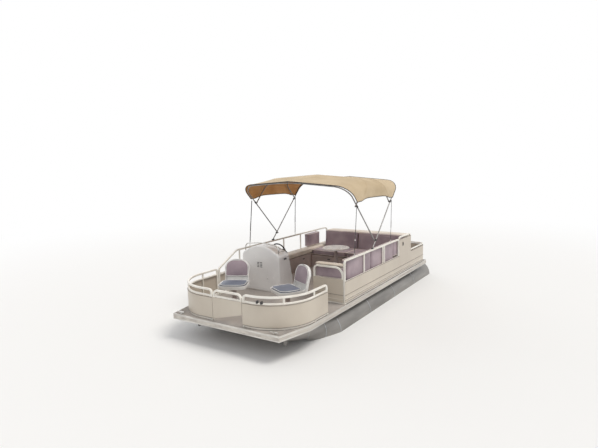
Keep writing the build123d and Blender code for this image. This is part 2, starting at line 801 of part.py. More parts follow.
# name, plane, half width, crown, where the canopy's hem crosses the legs
sun_bows = [
    ("front", bow_plane(along_main(front_foot), front_lean, True), sun_half - 30, front_crown, front_hem),
    ("fore", bow_plane(along_front(fore_foot), mid_lean, False), sun_half - 60, mid_crown, mid_hem),
    ("aft", bow_plane(along_main(aft_foot), mid_lean, True), sun_half - 30, mid_crown, mid_hem),
    ("main", bow_plane((sun_foot_aft, sun_foot_up), main_lean, False), sun_half, main_crown, main_hem),
]


def bow_corners(half, crown, foot):
    """Corner points of a bow's line, from one foot over the crown to the other."""
    low = crown - sun_crown_drop
    return [(-half, foot), (-half, low), (0, crown), (half, low), (half, foot)]


for name, plane, half, crown, hem in sun_bows:
    with BuildPart() as bow:
        with BuildLine(plane) as run:
            FilletPolyline(*bow_corners(half, crown, 0), radius=[sun_corner, sun_crown_radius, sun_corner])
        with BuildSketch(Plane(run.line @ 0, z_dir=run.line % 0)) as cut:
            Circle(bow_tube)
        sweep(cut.sketch, path=run.line)
        if name != "main":
            for side in (1, -1):
                bow_foot = plane.from_local_coords(Vector(side * half, 0, 0))
                with BuildSketch(Plane(origin=bow_foot, z_dir=(1, 0, 0))):
                    Circle(16)
                extrude(amount=9, both=True)
    save(bow.part, f"sun_bow_{name}")
main_bow = bow.part

with BuildPart() as canopy:
    for name, plane, half, crown, hem in sun_bows:
        with BuildSketch(plane):
            with BuildLine():
                lift = bow_tube + 6 + canopy_thickness / 2
                FilletPolyline(*bow_corners(sun_half + lift, crown + lift, hem),
                               radius=[sun_corner + lift, sun_crown_radius, sun_corner + lift])
            trace(line_width=canopy_thickness)
    loft(ruled=True)
save(canopy.part, "sun_canopy")

# strap foot (aft on the rail), and its top as (aft, up)
straps = [(2200, along_front(front_hem)), (3880, along_main(main_hem - 20))]
strap_width = 25
strap_thickness = 3
strap_out = 4
with BuildPart() as sun_straps:
    for foot_aft, top in straps:
        for side in (1, -1):
            strap_x = side * (sun_half + strap_out)
            start = Vector(*spot(strap_x, foot_aft, side_rail_up + rail_half + strap_out))
            end = Vector(*spot(strap_x, top[0], top[1] - 30))
            with BuildSketch(Plane(origin=start, x_dir=(1, 0, 0), z_dir=(end - start).normalized())):
                Rectangle(strap_thickness, strap_width)
            extrude(amount=(end - start).length)
save(sun_straps.part, "sun_straps")
with BuildPart() as sun_feet:
    for side in (1, -1):
        with Locations(spot(side * sun_half, sun_foot_aft, side_rail_up + rail_half)):
            foot_height = sun_foot_up - side_rail_up - rail_half + 8
            Box(32, 60, foot_height, align=(Align.CENTER, Align.CENTER, Align.MIN))
    add(main_bow, mode=Mode.SUBTRACT)
save(sun_feet.part, "sun_feet")

# Outboard motor, stored tilted up. Places on it are (aft, up) from the tilt tube
tilt_foot = (transom_aft + 10, transom_up + 45)
tilt_turn = radians(tilt_stowed)
motor = Plane(origin=spot(0, *tilt_foot), x_dir=(0, cos(tilt_turn), sin(tilt_turn)), z_dir=(1, 0, 0))
steer_aft = 125
pin_gap = 0.05
tilt_pin = 11
steer_pin = 14
clamp_inside = 94
clamp_wall = 12


def motor_level(up):
    """Plane square to the motor's own upright, with x to port and y aft."""
    return Plane(origin=motor.from_local_coords(Vector(0, up, 0)), x_dir=(1, 0, 0), z_dir=motor.y_dir)


with BuildPart() as clamp_bracket:
    rake = tan(radians(transom_rake))
    for side in (1, -1):
        with BuildSketch(side_plane(side * (clamp_inside + clamp_wall / 2))):
            with BuildLine():
                Polyline(*[(transom_aft + aft, transom_up + up) for aft, up in (
                    (-80 - 150 * rake, -150), (-80, 30), (-25, 72), (40, 72), (40, 0),
                    (34 - 230 * rake, -230), (-230 * rake, -230), (0, 0), (-transom_thickness, 0),
                    (-transom_thickness - 8 - 150 * rake, -150))], close=True)
            make_face()
        extrude(amount=clamp_wall / 2, both=True)
    with BuildSketch(side_plane(0)):
        with Locations(tilt_foot):
            Circle(tilt_pin)
    extrude(amount=clamp_inside + 2, both=True)
save(clamp_bracket.part, "motor_clamp")

with BuildPart() as swivel_bracket:
    with BuildSketch(motor):
        Circle(24)
    extrude(amount=clamp_inside - 6, both=True)
    with BuildSketch(motor):
        with Locations((70, -22)):
            Rectangle(120, 74)
    extrude(amount=45, both=True)
    with BuildSketch(motor_level(-330)):
        with Locations((0, steer_aft)):
            Circle(36)
    extrude(amount=355)
    with BuildSketch(motor_level(-331)):
        with Locations((0, steer_aft)):
            Circle(steer_pin + pin_gap)
    extrude(amount=357, mode=Mode.SUBTRACT)
    with BuildSketch(motor):
        Circle(tilt_pin + pin_gap)
    extrude(amount=clamp_inside, both=True, mode=Mode.SUBTRACT)
save(swivel_bracket.part, "motor_swivel")

# height on the leg, middle, length and width of each section
leg_sections = [(118, 215, 200, 190), (40, 262, 168, 130), (-300, 246, 140, 96), (-600, 240, 150, 62)]
with BuildPart() as motor_leg:
    for up, middle, length, width in leg_sections:
        with BuildSketch(motor_level(up)):
            with Locations((0, middle)):
                RectangleRounded(width, length, 28)
    loft(ruled=True)
    for low, high in ((31, 60), (-372, -337)):
        with BuildSketch(motor_level(low)):
            with Locations((0, (steer_aft + 220) / 2 - 20)):
                RectangleRounded(76, 220 - steer_aft + 70, 30)
        extrude(amount=high - low)
    with BuildSketch(motor_level(-340)):
        with Locations((0, steer_aft)):
            Circle(steer_pin)
    extrude(amount=375)
save(motor_leg.part, "motor_leg")

with BuildPart() as lower_unit:
    for up, middle, length, width in ((-600, 240, 150, 62), (-760, 215, 190, 52)):
        with BuildSketch(motor_level(up)):
            with Locations((0, middle)):
                RectangleRounded(width, length, 25)
    loft(ruled=True)
    with BuildSketch(motor_level(-612)):
        with BuildLine():
            Polyline((-55, 150), (55, 150), (95, 240), (80, 440), (-80, 440), (-95, 240), close=True)
        make_face()
    extrude(amount=8)
    with BuildSketch(motor):
        with BuildLine():
            Polyline(
                (58, -770), (338, -770), (338, -732), (300, -722), (170, -722), (110, -732), (72, -750),
                close=True,
            )
        make_face()
    revolve(axis=Axis(motor.from_local_coords(Vector(0, -770, 0)), motor.x_dir))
    with BuildSketch(motor):
        with BuildLine():
            Polyline((130, -790), (300, -790), (290, -890), (262, -925), (225, -925), close=True)
        make_face()
    extrude(amount=7, both=True)
save(lower_unit.part, "lower_unit")

cowl_wall = 9
# height above the tilt tube, middle, length and width of each section
cowl_sections = [
    (125, 190, 460, 300),
    (190, 192, 496, 336),
    (360, 188, 486, 328),
    (450, 178, 430, 286),
    (500, 165, 300, 190),
]
with BuildPart() as motor_cowl:
    for up, middle, length, width in cowl_sections:
        with BuildSketch(motor_level(up)):
            with Locations((0, middle)):
                RectangleRounded(width, length, 88)
    loft(ruled=True)
    for up, middle, length, width in cowl_sections:
        level = max(up - cowl_wall, cowl_sections[0][0] + cowl_wall)
        with BuildSketch(motor_level(level)):
            with Locations((0, middle)):
                RectangleRounded(width - 2 * cowl_wall, length - 2 * cowl_wall, 88 - cowl_wall)
    loft(ruled=True, mode=Mode.SUBTRACT)
save(motor_cowl.part, "motor_cowl")
with BuildPart() as engine_block:
    with BuildSketch(motor_level(140)):
        with Locations((0, 200)):
            Rectangle(200, 300)
    extrude(amount=250)
save(engine_block.part, "engine_block")

blade_count = 3
blade_radius = 158
propeller_hub = 38
with BuildPart() as propeller:
    shaft = motor.from_local_coords(Vector(343.5, -770, 0))
    hub_plane = Plane(origin=shaft, x_dir=(1, 0, 0), z_dir=motor.x_dir)
    with BuildSketch(hub_plane):
        Circle(propeller_hub)
    extrude(amount=74)
    for index in range(blade_count):
        angle = 360 * index / blade_count
        spoke = hub_plane.x_dir * cos(radians(angle)) + hub_plane.y_dir * sin(radians(angle))
        around = hub_plane.z_dir.cross(spoke)
        pitch = radians(24)
        blade_x = around * cos(pitch) + hub_plane.z_dir * sin(pitch)
        middle = shaft + hub_plane.z_dir * 37
        with BuildSketch(Plane(origin=middle, x_dir=blade_x, z_dir=blade_x.cross(spoke))):
            with Locations((8, 98)):
                Ellipse(52, 60)
            with Locations((0, 45)):
                Rectangle(60, 50)
        extrude(amount=3, both=True)
save(propeller.part, "propeller")

# Deck fittings: four mooring cleats
cleat_inset = 60
cleat_length = 150
cleat_bow = bow_half - 120
cleat_stern = stern_return - 100
with BuildPart() as cleats:
    for side in (1, -1):
        for across, aft in ((side * cleat_bow, cleat_inset), (side * cleat_stern, deck_length - cleat_inset)):
            with Locations(spot(across, aft, 0)):
                Box(60, 36, 10, align=(Align.CENTER, Align.CENTER, Align.MIN))
            with Locations(spot(across - 18, aft, 0), spot(across + 18, aft, 0)):
                Cylinder(8, 34, align=(Align.CENTER, Align.CENTER, Align.MIN))
            with Locations(spot(across, aft, 34)):
                Box(cleat_length, 16, 14)
save(cleats.part, "cleats")
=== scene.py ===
from math import cos, pi, radians, sin, tan

import bmesh
import bpy
import numpy as np
from mathutils import Matrix, Vector


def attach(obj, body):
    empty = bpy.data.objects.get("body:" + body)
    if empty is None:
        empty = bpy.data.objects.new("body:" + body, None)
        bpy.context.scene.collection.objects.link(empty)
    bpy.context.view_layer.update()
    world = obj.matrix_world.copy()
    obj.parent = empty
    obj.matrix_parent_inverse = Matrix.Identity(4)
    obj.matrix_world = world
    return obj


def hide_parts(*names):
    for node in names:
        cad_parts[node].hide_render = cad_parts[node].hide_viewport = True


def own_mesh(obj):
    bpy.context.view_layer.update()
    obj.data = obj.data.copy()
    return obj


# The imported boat, in metres: +Z up, the bow looks along -Y, +X to port, keels on z = 0.
# Places aboard are given across from the centre line, aft of the deck's front edge
# and up from the deck's top.
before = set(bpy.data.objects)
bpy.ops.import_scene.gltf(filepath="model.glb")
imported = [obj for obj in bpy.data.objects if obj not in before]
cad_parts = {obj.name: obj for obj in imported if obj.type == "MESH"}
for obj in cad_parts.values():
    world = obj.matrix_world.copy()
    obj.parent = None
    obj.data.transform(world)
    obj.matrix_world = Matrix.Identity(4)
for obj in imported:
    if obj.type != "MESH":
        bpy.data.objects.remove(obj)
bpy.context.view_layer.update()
bow_y = -3.75
deck_top = 0.741
to_port, to_stern, upward = Vector((1, 0, 0)), Vector((0, 1, 0)), Vector((0, 0, 1))


def aboard(across, aft, up):
    """Place in the row frame of a point aboard."""
    return Vector((across, bow_y + aft, deck_top + up))


# Hull tubes: 5052 aluminium sheet rolled into two tubes, welded at the seams, with
# raised noses and a keel strip. Years afloat leave a chalky bloom and faint streaks.
def new_finish(name, colour, roughness, metallic=0.0, coat=0.0, sheen=0.0):
    """A material with its Principled shader set to plain values."""
    finish = bpy.data.materials.new(name)
    finish.use_nodes = True
    shader = finish.node_tree.nodes["Principled BSDF"]
    shader.inputs["Base Color"].default_value = (*colour, 1)
    shader.inputs["Roughness"].default_value = roughness
    shader.inputs["Metallic"].default_value = metallic
    shader.inputs["Coat Weight"].default_value = coat
    shader.inputs["Sheen Weight"].default_value = sheen
    return finish


def add_node(tree, kind, **inputs):
    """New shader node with its inputs set to values or linked to other nodes' outputs."""
    node = tree.nodes.new("ShaderNode" + kind)
    for name, value in inputs.items():
        socket = node.inputs[name.replace("_", " ")]
        if isinstance(value, bpy.types.NodeSocket):
            tree.links.new(value, socket)
        else:
            socket.default_value = value
    return node


def grain(finish, size, detail=4.0, stretch=(1, 1, 1), warp=0.0):
    """Noise on the piece's own coordinates; size is one blotch in metres, before the stretch."""
    tree = finish.node_tree
    place = add_node(tree, "TexCoord").outputs["Object"]
    spread = [1 / (size * axis) for axis in stretch]
    scaled = add_node(tree, "Mapping", Vector=place, Scale=spread).outputs["Vector"]
    noise = add_node(tree, "TexNoise", Vector=scaled, Scale=1.0, Detail=detail, Distortion=warp)
    return noise.outputs["Fac"]


def tint(finish, dark, light, *pattern):
    """Colour the surface from dark to light by a grain of that size and stretch."""
    tree = finish.node_tree
    ramp = add_node(tree, "ValToRGB", Fac=grain(finish, *pattern))
    for stop, position, colour in zip(ramp.color_ramp.elements, (0.35, 0.65), (dark, light)):
        stop.position = position
        stop.color = (*colour, 1)
    tree.links.new(ramp.outputs["Color"], tree.nodes["Principled BSDF"].inputs["Base Color"])


def gloss(finish, smooth, rough, *pattern):
    """Vary the roughness by a grain."""
    tree = finish.node_tree
    spread = add_node(tree, "MapRange", Value=grain(finish, *pattern), To_Min=smooth, To_Max=rough)
    tree.links.new(spread.outputs["Result"], tree.nodes["Principled BSDF"].inputs["Roughness"])


def relief(finish, depth, strength, *pattern):
    """Raise the surface by a grain; depth is in metres."""
    tree = finish.node_tree
    bump = add_node(tree, "Bump", Strength=strength, Distance=depth, Height=grain(finish, *pattern))
    shader = tree.nodes["Principled BSDF"]
    if shader.inputs["Normal"].links:
        tree.links.new(shader.inputs["Normal"].links[0].from_socket, bump.inputs["Normal"])
    tree.links.new(bump.outputs["Normal"], shader.inputs["Normal"])


def dress(nodes, finish, edge=0.0, sharp=32):
    """Give CAD pieces, named in one string, their finish and break their edges."""
    for node in nodes.split():
        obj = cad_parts[node]
        obj.data.materials.clear()
        obj.data.materials.append(finish)
        weld = obj.modifiers.new("weld", "WELD")
        weld.merge_threshold = 0.00002
        if edge:
            bevel = obj.modifiers.new("edge", "BEVEL")
            bevel.width = edge
            bevel.segments = 2
            bevel.limit_method = "ANGLE"
            bevel.angle_limit = radians(sharp)
            bevel.harden_normals = True


hull_aluminium = new_finish("hull_aluminium", (0.32, 0.31, 0.29), 0.42, 0.75)
tint(hull_aluminium, (0.22, 0.21, 0.20), (0.37, 0.355, 0.335), 0.5, 4, (1, 3, 0.6))
gloss(hull_aluminium, 0.30, 0.58, 0.06, 6, (1, 6, 1))
relief(hull_aluminium, 0.004, 0.35, 0.25, 2, (1, 2, 1))
relief(hull_aluminium, 0.0002, 0.4, 0.0015, 2, (1, 12, 1))
dress("port_pontoon starboard_pontoon risers cross_channels motor_pod bow_eyes", hull_aluminium, 0.002)


def new_object(name, data):
    """Object of a mesh, a light or a camera, put in the scene."""
    obj = bpy.data.objects.new(name, data)
    bpy.context.scene.collection.objects.link(obj)
    return obj


def new_mesh(name, vertices, faces, finish):
    """Smooth mesh of one finish."""
    mesh = bpy.data.meshes.new(name)
    mesh.from_pydata(vertices, [], faces)
    mesh.materials.append(finish)
    mesh.shade_smooth()
    return mesh


def put(name, shapes, finish, body="boat", sharp=40):
    """Make one object of several (vertices, faces) shapes, riding on a body."""
    vertices, faces = [], []
    for points, loops in shapes:
        first = len(vertices)
        vertices.extend(tuple(point) for point in points)
        faces.extend(tuple(first + index for index in loop) for loop in loops)
    mesh = new_mesh(name, vertices, faces, finish)
    mesh.set_sharp_from_angle(angle=radians(sharp))
    obj = new_object(name, mesh)
    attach(obj, body)
    return obj


def skin(rings, wrap=False, caps=True):
    """Vertices and faces over rings of equal count; wrap joins the last ring to the first."""
    count, sides = len(rings), len(rings[0])
    loops = []
    for index in range(count if wrap else count - 1):
        low, high = index * sides, (index + 1) % count * sides
        for step in range(sides):
            nxt = (step + 1) % sides
            loops.append((low + step, low + nxt, high + nxt, high + step))
    if caps and not wrap:
        loops.append(tuple(reversed(range(sides))))
        loops.append(tuple(range((count - 1) * sides, count * sides)))
    return [point for ring in rings for point in ring], loops


def bar(points, radius, sides=12, closed=False, flat=1.0, up=upward):
    """Round or oval bar along points; flat is its thickness along up as a share of its width."""
    points = [Vector(point) for point in points]
    count = len(points)
    radii = radius if isinstance(radius, (list, tuple)) else [radius] * count
    rings = []
    side = None
    for index, point in enumerate(points):
        before = points[index - 1] if index or closed else point
        after = points[(index + 1) % count] if index < count - 1 or closed else point
        along = (after - before).normalized()
        if side is None:
            side = along.cross(up)
            if side.length < 0.01:
                side = along.cross(to_port)
        side = (side - along * side.dot(along)).normalized()
        rise = side.cross(along)
        ring = []
        for step in range(sides):
            turn = 2 * pi * step / sides
            ring.append(point + (side * cos(turn) + rise * sin(turn) * flat) * radii[index])
        rings.append(ring)
    return skin(rings, closed)


def circle(middle, radius, steps, across=to_port, rise=to_stern):
    """Points round a circle in the plane of two directions."""
    turns = [2 * pi * step / steps for step in range(steps)]
    return [middle + (across * cos(turn) + rise * sin(turn)) * radius for turn in turns]


tube_across = 0.895
# aft, radius and middle height of each welded seam
seams = [(0.900, 0.125, 0.497), (1.300, 0.215, 0.407), (1.650, 0.305, 0.317), (2.870, 0.305, 0.317),
         (4.090, 0.305, 0.317), (5.310, 0.305, 0.317)]
weld_rings = []
for side in (1, -1):
    for aft, radius, middle in seams:
        ring = circle(Vector((side * tube_across, bow_y + aft, middle)), radius + 0.001, 64, rise=upward)
        weld_rings.append(bar(ring, 0.0045, 6, True, up=to_stern))
weld_bead = new_finish("weld_bead", (0.52, 0.54, 0.57), 0.45, 0.85)
relief(weld_bead, 0.002, 0.8, 0.006, 1)
tint(weld_bead, (0.38, 0.40, 0.43), (0.6, 0.62, 0.65), 0.03)
put("tube_weld_rings", weld_rings, weld_bead)

# Deck: marine plywood under short-pile carpet in worn beige-grey, with an extruded
# aluminium edge trim screwed round it and a pale vinyl bumper in the trim's groove.
deck_carpet = new_finish("deck_carpet", (0.34, 0.30, 0.27), 0.95, sheen=0.3)
tint(deck_carpet, (0.27, 0.24, 0.22), (0.42, 0.37, 0.33), 0.45, 6)
relief(deck_carpet, 0.003, 0.9, 0.0035, 2)
dress("deck_board", deck_carpet)

trim_aluminium = new_finish("trim_aluminium", (0.66, 0.64, 0.60), 0.35, 0.8)
tint(trim_aluminium, (0.50, 0.48, 0.45), (0.72, 0.70, 0.66), 0.3, 4, (1, 4, 1))
gloss(trim_aluminium, 0.25, 0.5, 0.02, 4, (1, 8, 1))
deck_corners = [(-1.08, 0), (1.08, 0), (1.22, 0.64), (1.22, 6.1), (-1.22, 6.1), (-1.22, 0.64)]


def inset(corners, amount):
    """Corners of a convex outline, moved inward by the amount."""
    moved = []
    count = len(corners)
    for index in range(count):
        lines = []
        for first in (index - 1, index):
            start, end = Vector(corners[first]), Vector(corners[(first + 1) % count])
            run = (end - start).normalized()
            normal = Vector((-run.y, run.x))
            lines.append((normal, normal.dot(start) + amount))
        (a, c), (b, d) = lines
        det = a.x * b.y - a.y * b.x
        moved.append(((c * b.y - d * a.y) / det, (a.x * d - b.x * c) / det))
    return moved


def edge_strip(profile):
    """Closed strip round the deck; profile is (inset, up) in order round the section."""
    rings = [[aboard(*corner, up) for corner in inset(deck_corners, amount)] for amount, up in profile]
    return skin(rings, wrap=True)


trim_profile = [
    (0.009, -0.088), (0.001, -0.088), (0.0, -0.086), (0.0, -0.066), (0.003, -0.065), (0.003, -0.022),
    (0.0, -0.021), (0.0, 0.003), (0.001, 0.005), (0.014, 0.005), (0.014, 0.001), (0.009, 0.001),
]
trim = put("deck_edge_trim", [edge_strip(trim_profile)], trim_aluminium, sharp=25)
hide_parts("deck_trim")
bumper_vinyl = new_finish("bumper_vinyl", (0.62, 0.58, 0.52), 0.5)
tint(bumper_vinyl, (0.45, 0.41, 0.37), (0.66, 0.62, 0.56), 0.2, 4, (1, 4, 1))
bumper_profile = [(0.003, -0.064), (0.0008, -0.060), (0.0, -0.044), (0.0008, -0.027), (0.003, -0.023)]
put("deck_edge_bumper", [edge_strip(bumper_profile)], bumper_vinyl, sharp=60)

# Fences: 32 mm square aluminium tube in cream paint, welded into frames, with sheet
# panels in glossy beige riveted on from outside and square sockets screwed to the deck.
rail_paint = new_finish("rail_paint", (0.82, 0.79, 0.72), 0.28)
tint(rail_paint, (0.76, 0.72, 0.65), (0.86, 0.84, 0.78), 0.25, 5)
gloss(rail_paint, 0.22, 0.42, 0.05)
relief(rail_paint, 0.0003, 0.3, 0.004, 1)
dress("bow_rails_port bow_rails_starboard side_rails_port side_elbows_port side_posts_port", rail_paint)
dress("side_crossbars_port side_rails_starboard stern_rails_port stern_rails_starboard", rail_paint)
dress("return_rails gate_frame", rail_paint)
fence_beige = new_finish("fence_beige", (0.57, 0.51, 0.43), 0.3)
tint(fence_beige, (0.52, 0.46, 0.385), (0.60, 0.54, 0.455), 0.8, 5, (1, 1, 1.6))
gloss(fence_beige, 0.30, 0.38, 0.4, 3, (1, 1, 2))
relief(fence_beige, 0.008, 0.15, 0.6, 1)
dress("bow_panels side_panels stern_panels gate_panel", fence_beige)


def bend(corners, radius, steps=10):
    """Corners of a flat path with each inner corner rounded to the radius."""
    corners = [Vector(corner) for corner in corners]
    points = [corners[0]]
    for index in range(1, len(corners) - 1):
        back = (corners[index - 1] - corners[index]).normalized()
        ahead = (corners[index + 1] - corners[index]).normalized()
        half = back.angle(ahead) / 2
        reach = radius / tan(half)
        centre = corners[index] + (back + ahead).normalized() * (radius / sin(half))
        start = corners[index] + back * reach - centre
        end = corners[index] + ahead * reach - centre
        arc = start.angle(end)
        for step in range(steps + 1):
            share = step / steps
            points.append(centre + (start * sin((1 - share) * arc) + end * sin(share * arc)) / sin(arc))
    points.append(corners[-1])
    return points


skin_across = 1.1965
bow_skin_aft = 0.0625
stern_skin_aft = 6.0705
fence_foot = 0.040


def along_side(side, start, end, level):
    """Straight line on a side fence's skin."""
    return [aboard(side * skin_across, aft, level) for aft in (start, end)]


def round_stern(side, start, level):
    """Line on the skin from a side round the stern corner."""
    corner = [(skin_across, start), (skin_across, stern_skin_aft), (0.686, stern_skin_aft)]
    return bend([aboard(side * across, aft, level) for across, aft in corner], 0.178, 12)


edge_lines = []
for side, gate_side in ((1, 0.364), (-1, 0.251)):
    corner = [(gate_side, bow_skin_aft), (skin_across, bow_skin_aft), (skin_across, 1.211)]
    for level in (fence_foot, 0.378):
        edge_lines.append(bend([aboard(side * across, aft, level) for across, aft in corner], 0.695, 24))
for side, start, end, top in ((1, 1.815, 4.35, 0.404), (-1, 1.236, 5.414, 0.404), (1, 4.358, 5.054, 0.76)):
    edge_lines += [along_side(side, start, end, level) for level in (fence_foot, top)]
for side, start in ((1, 5.058), (-1, 5.454)):
    edge_lines += [round_stern(side, start, level) for level in (fence_foot, 0.394)]
# Dark finish for the rub strip, and for lines that are partly or wholly painted shade: the panels' edge
# strips and the line under the kick strip.
strip_and_shade_dark = new_finish("fence_strip_and_shade", (0.14, 0.115, 0.10), 0.4)
tint(strip_and_shade_dark, (0.10, 0.08, 0.07), (0.18, 0.15, 0.13), 0.2)
# Dark strips along the panels' top and bottom edges; the one at each panel's foot is partly painted shadow
# where the panel meets the deck.
panel_edges_and_shade = [bar(line, 0.0062, 8, flat=0.5) for line in edge_lines]
put("fence_panel_edges_and_shade", panel_edges_and_shade, strip_and_shade_dark, sharp=60)
kick_level = 0.088
side_runs = [(1, 1.813, 5.056), (-1, 1.234, 5.416)]
for name, level, width, finish in (("rub", 0.163, 0.0070, strip_and_shade_dark),
                                   ("kick", kick_level, 0.0055, rail_paint)):
    lines = [along_side(side, start, end, level) for side, start, end in side_runs]
    lines += [round_stern(side, start, level) for side, start in ((1, 5.056), (-1, 5.452))]
    lines.append([aboard(0.560, 1.8095, level), aboard(1.158, 1.8095, level)])
    strips = [bar(line, width, 8, flat=0.45) for line in lines]
    put(f"fence_{name}_strip", strips, finish, sharp=60)
# A dark line just under the kick strip: painted shade that the strip would cast on the panel, not a part of
# its own.
painted_shade = [bar(along_side(*run, kick_level - 0.012), 0.0055, 8, flat=0.45) for run in side_runs]
put("fence_kick_painted_shade", painted_shade, strip_and_shade_dark, sharp=60)

stainless = new_finish("stainless", (0.62, 0.61, 0.59), 0.22, 1.0)
tint(stainless, (0.52, 0.51, 0.49), (0.68, 0.67, 0.65), 0.05)
gloss(stainless, 0.14, 0.34, 0.01)


def dome(centre, normal, radius, height, sides=10):
    """Low round head, such as a rivet or a screw."""
    normal = Vector(normal).normalized()
    across = normal.orthogonal().normalized()
    along = normal.cross(across)
    rows = [(1.0, 0.0), (0.92, 0.45), (0.6, 0.85)]
    rings = [circle(centre + normal * height * rise, radius * share, sides, across, along)
             for share, rise in rows]
    points, loops = skin(rings, caps=False)
    last = (len(rows) - 1) * sides
    loops += [(last + step, last + (step + 1) % sides, len(points)) for step in range(sides)]
    return points + [centre + normal * height], loops


def unpack(form):
    """Vertices and faces of a bmesh, which is freed."""
    form.verts.index_update()
    points = [vertex.co.copy() for vertex in form.verts]
    loops = [tuple(vertex.index for vertex in face.verts) for face in form.faces]
    form.free()
    return points, loops


def rounded_box(low, high, edge):
    """Vertices and faces of a box with rounded edges, from its low to its high corner."""
    form = bmesh.new()
    bmesh.ops.create_cube(form, size=1.0)
    for vertex in form.verts:
        vertex.co = Vector([(a + b) / 2 + c * (b - a) for a, b, c in zip(low, high, vertex.co)])
    bmesh.ops.bevel(form, geom=form.edges[:], offset=edge, segments=3, affect="EDGES", profile=0.5)
    return unpack(form)


def box_aboard(low, high, edge):
    """Rounded box between two corners given across, aft and up."""
    return rounded_box(aboard(*low), aboard(*high), edge)


post_feet, rivets = [], []
fence_posts = [(-0.265, 0.083), (0.378, 0.083), (1.178, 1.197), (-1.178, 1.197), (1.178, 0.818),
               (-1.178, 0.818), (1.178, 1.829), (1.178, 4.336), (0.575, 1.829), (-1.178, 1.25), (-1.178, 5.4),
               (0.7, 6.052), (-0.7, 6.052), (1.178, 5.852), (-1.178, 5.852)]
fence_posts += [(1.178, aft) for aft in (2.61, 3.48, 3.56)]
fence_posts += [(-1.178, aft) for aft in (1.86, 2.64, 3.4, 4.1, 4.8)]
socket_reach = 0.0175
for across, aft in fence_posts:
    for x, y in ((1, 0), (0, 1), (-1, 0), (0, -1)):
        middle = aboard(across + x * socket_reach, aft + y * socket_reach, 0.01225)
        half = Vector((0.003 + abs(y) * socket_reach, 0.003 + abs(x) * socket_reach, 0.01175))
        post_feet.append(rounded_box(middle - half, middle + half, 0.001))
for side, start, end in ((1, 1.829, 4.336), (-1, 1.25, 5.4)):
    for step in range(int((end - start) / 0.14)):
        aft = start + 0.07 + step * 0.14
        for level in (0.052, 0.394):
            rivets.append(dome(aboard(side * 1.196, aft, level), (side, 0, 0), 0.0045, 0.0022))
put("fence_post_feet", post_feet, rail_paint)
fence_plastic = new_finish("fence_plastic", (0.045, 0.042, 0.042), 0.45)
tint(fence_plastic, (0.035, 0.033, 0.033), (0.065, 0.062, 0.062), 0.03)
quarter_latch = [box_aboard((1.194, 4.530, 0.600), (1.203, 4.585, 0.680), 0.003),
                 box_aboard((1.200, 4.545, 0.625), (1.212, 4.570, 0.660), 0.003)]
rail_clips = [box_aboard((across - 0.012, 0.060, 0.405), (across + 0.012, 0.104, 0.450), 0.004)
              for across in (0.640, 0.720)]
put("quarter_latch", quarter_latch + rail_clips, fence_plastic)
put("fence_rivets", rivets, stainless)

# Bow gate: a light welded frame with its own panel, hung on two lift-off hinges on the
# starboard fence post, and held at its free side by a spring latch with a round knob.
hinge_steel = new_finish("hinge_steel", (0.50, 0.48, 0.45), 0.35, 1.0)
tint(hinge_steel, (0.38, 0.35, 0.31), (0.58, 0.56, 0.53), 0.02)
dress("gate_hinges", hinge_steel, 0.0006)
knob = [aboard(0.326, aft, 0.33) for aft in (0.128, 0.134, 0.148, 0.153)]
latch = [box_aboard((0.315, 0.100, 0.30), (0.347, 0.112, 0.36), 0.002),
         bar([aboard(0.334, 0.106, 0.33), aboard(0.357, 0.106, 0.33)], 0.005),
         bar([aboard(0.326, 0.112, 0.33), aboard(0.326, 0.130, 0.33)], 0.004),
         bar(knob, [0.007, 0.011, 0.011, 0.006], 16)]
put("gate_latch", latch, stainless, "gate")
keeper = box_aboard((0.3635, 0.1005, 0.312), (0.385, 0.110, 0.348), 0.002)
put("gate_latch_keeper", [keeper], stainless)

# Helm console: hand-laid gelcoat moulding in off-white with a tinted dash, an access
# door in its front, a grab rail bent from tube, gauges, switches and the throttle.
gelcoat_white = new_finish("gelcoat_white", (0.82, 0.81, 0.80), 0.22, coat=0.5)
tint(gelcoat_white, (0.77, 0.755, 0.75), (0.86, 0.85, 0.84), 0.5, 5)
gloss(gelcoat_white, 0.14, 0.34, 0.1)
relief(gelcoat_white, 0.0002, 0.2, 0.002, 1)
dress("helm_console", gelcoat_white, 0.008, 40)
dress("console_rail", stainless)
dash_black = new_finish("dash_black", (0.045, 0.043, 0.045), 0.45)
tint(dash_black, (0.035, 0.034, 0.036), (0.07, 0.068, 0.07), 0.08)
relief(dash_black, 0.0004, 0.6, 0.0012)
dress("dash_panel", dash_black, 0.002)


def frame_path(low, high, corner, steps=6):
    """Closed rounded rectangle between two corners, as (along, up) pairs."""
    points = []
    for x, y, start in ((1, 1, 0), (0, 1, 90), (0, 0, 180), (1, 0, 270)):
        middle = (high[0] - corner if x else low[0] + corner, high[1] - corner if y else low[1] + corner)
        for step in range(steps + 1):
            turn = radians(start + 90 * step / steps)
            points.append((middle[0] + corner * cos(turn), middle[1] + corner * sin(turn)))
    return points


def frame_across(aft, low, high, corner, radius, flat):
    """Moulded frame on a face that looks along the boat, at a place aft."""
    outline = [aboard(across, aft, up) for across, up in frame_path(low, high, corner)]
    return bar(outline, radius, 8, True, flat=flat, up=to_stern)


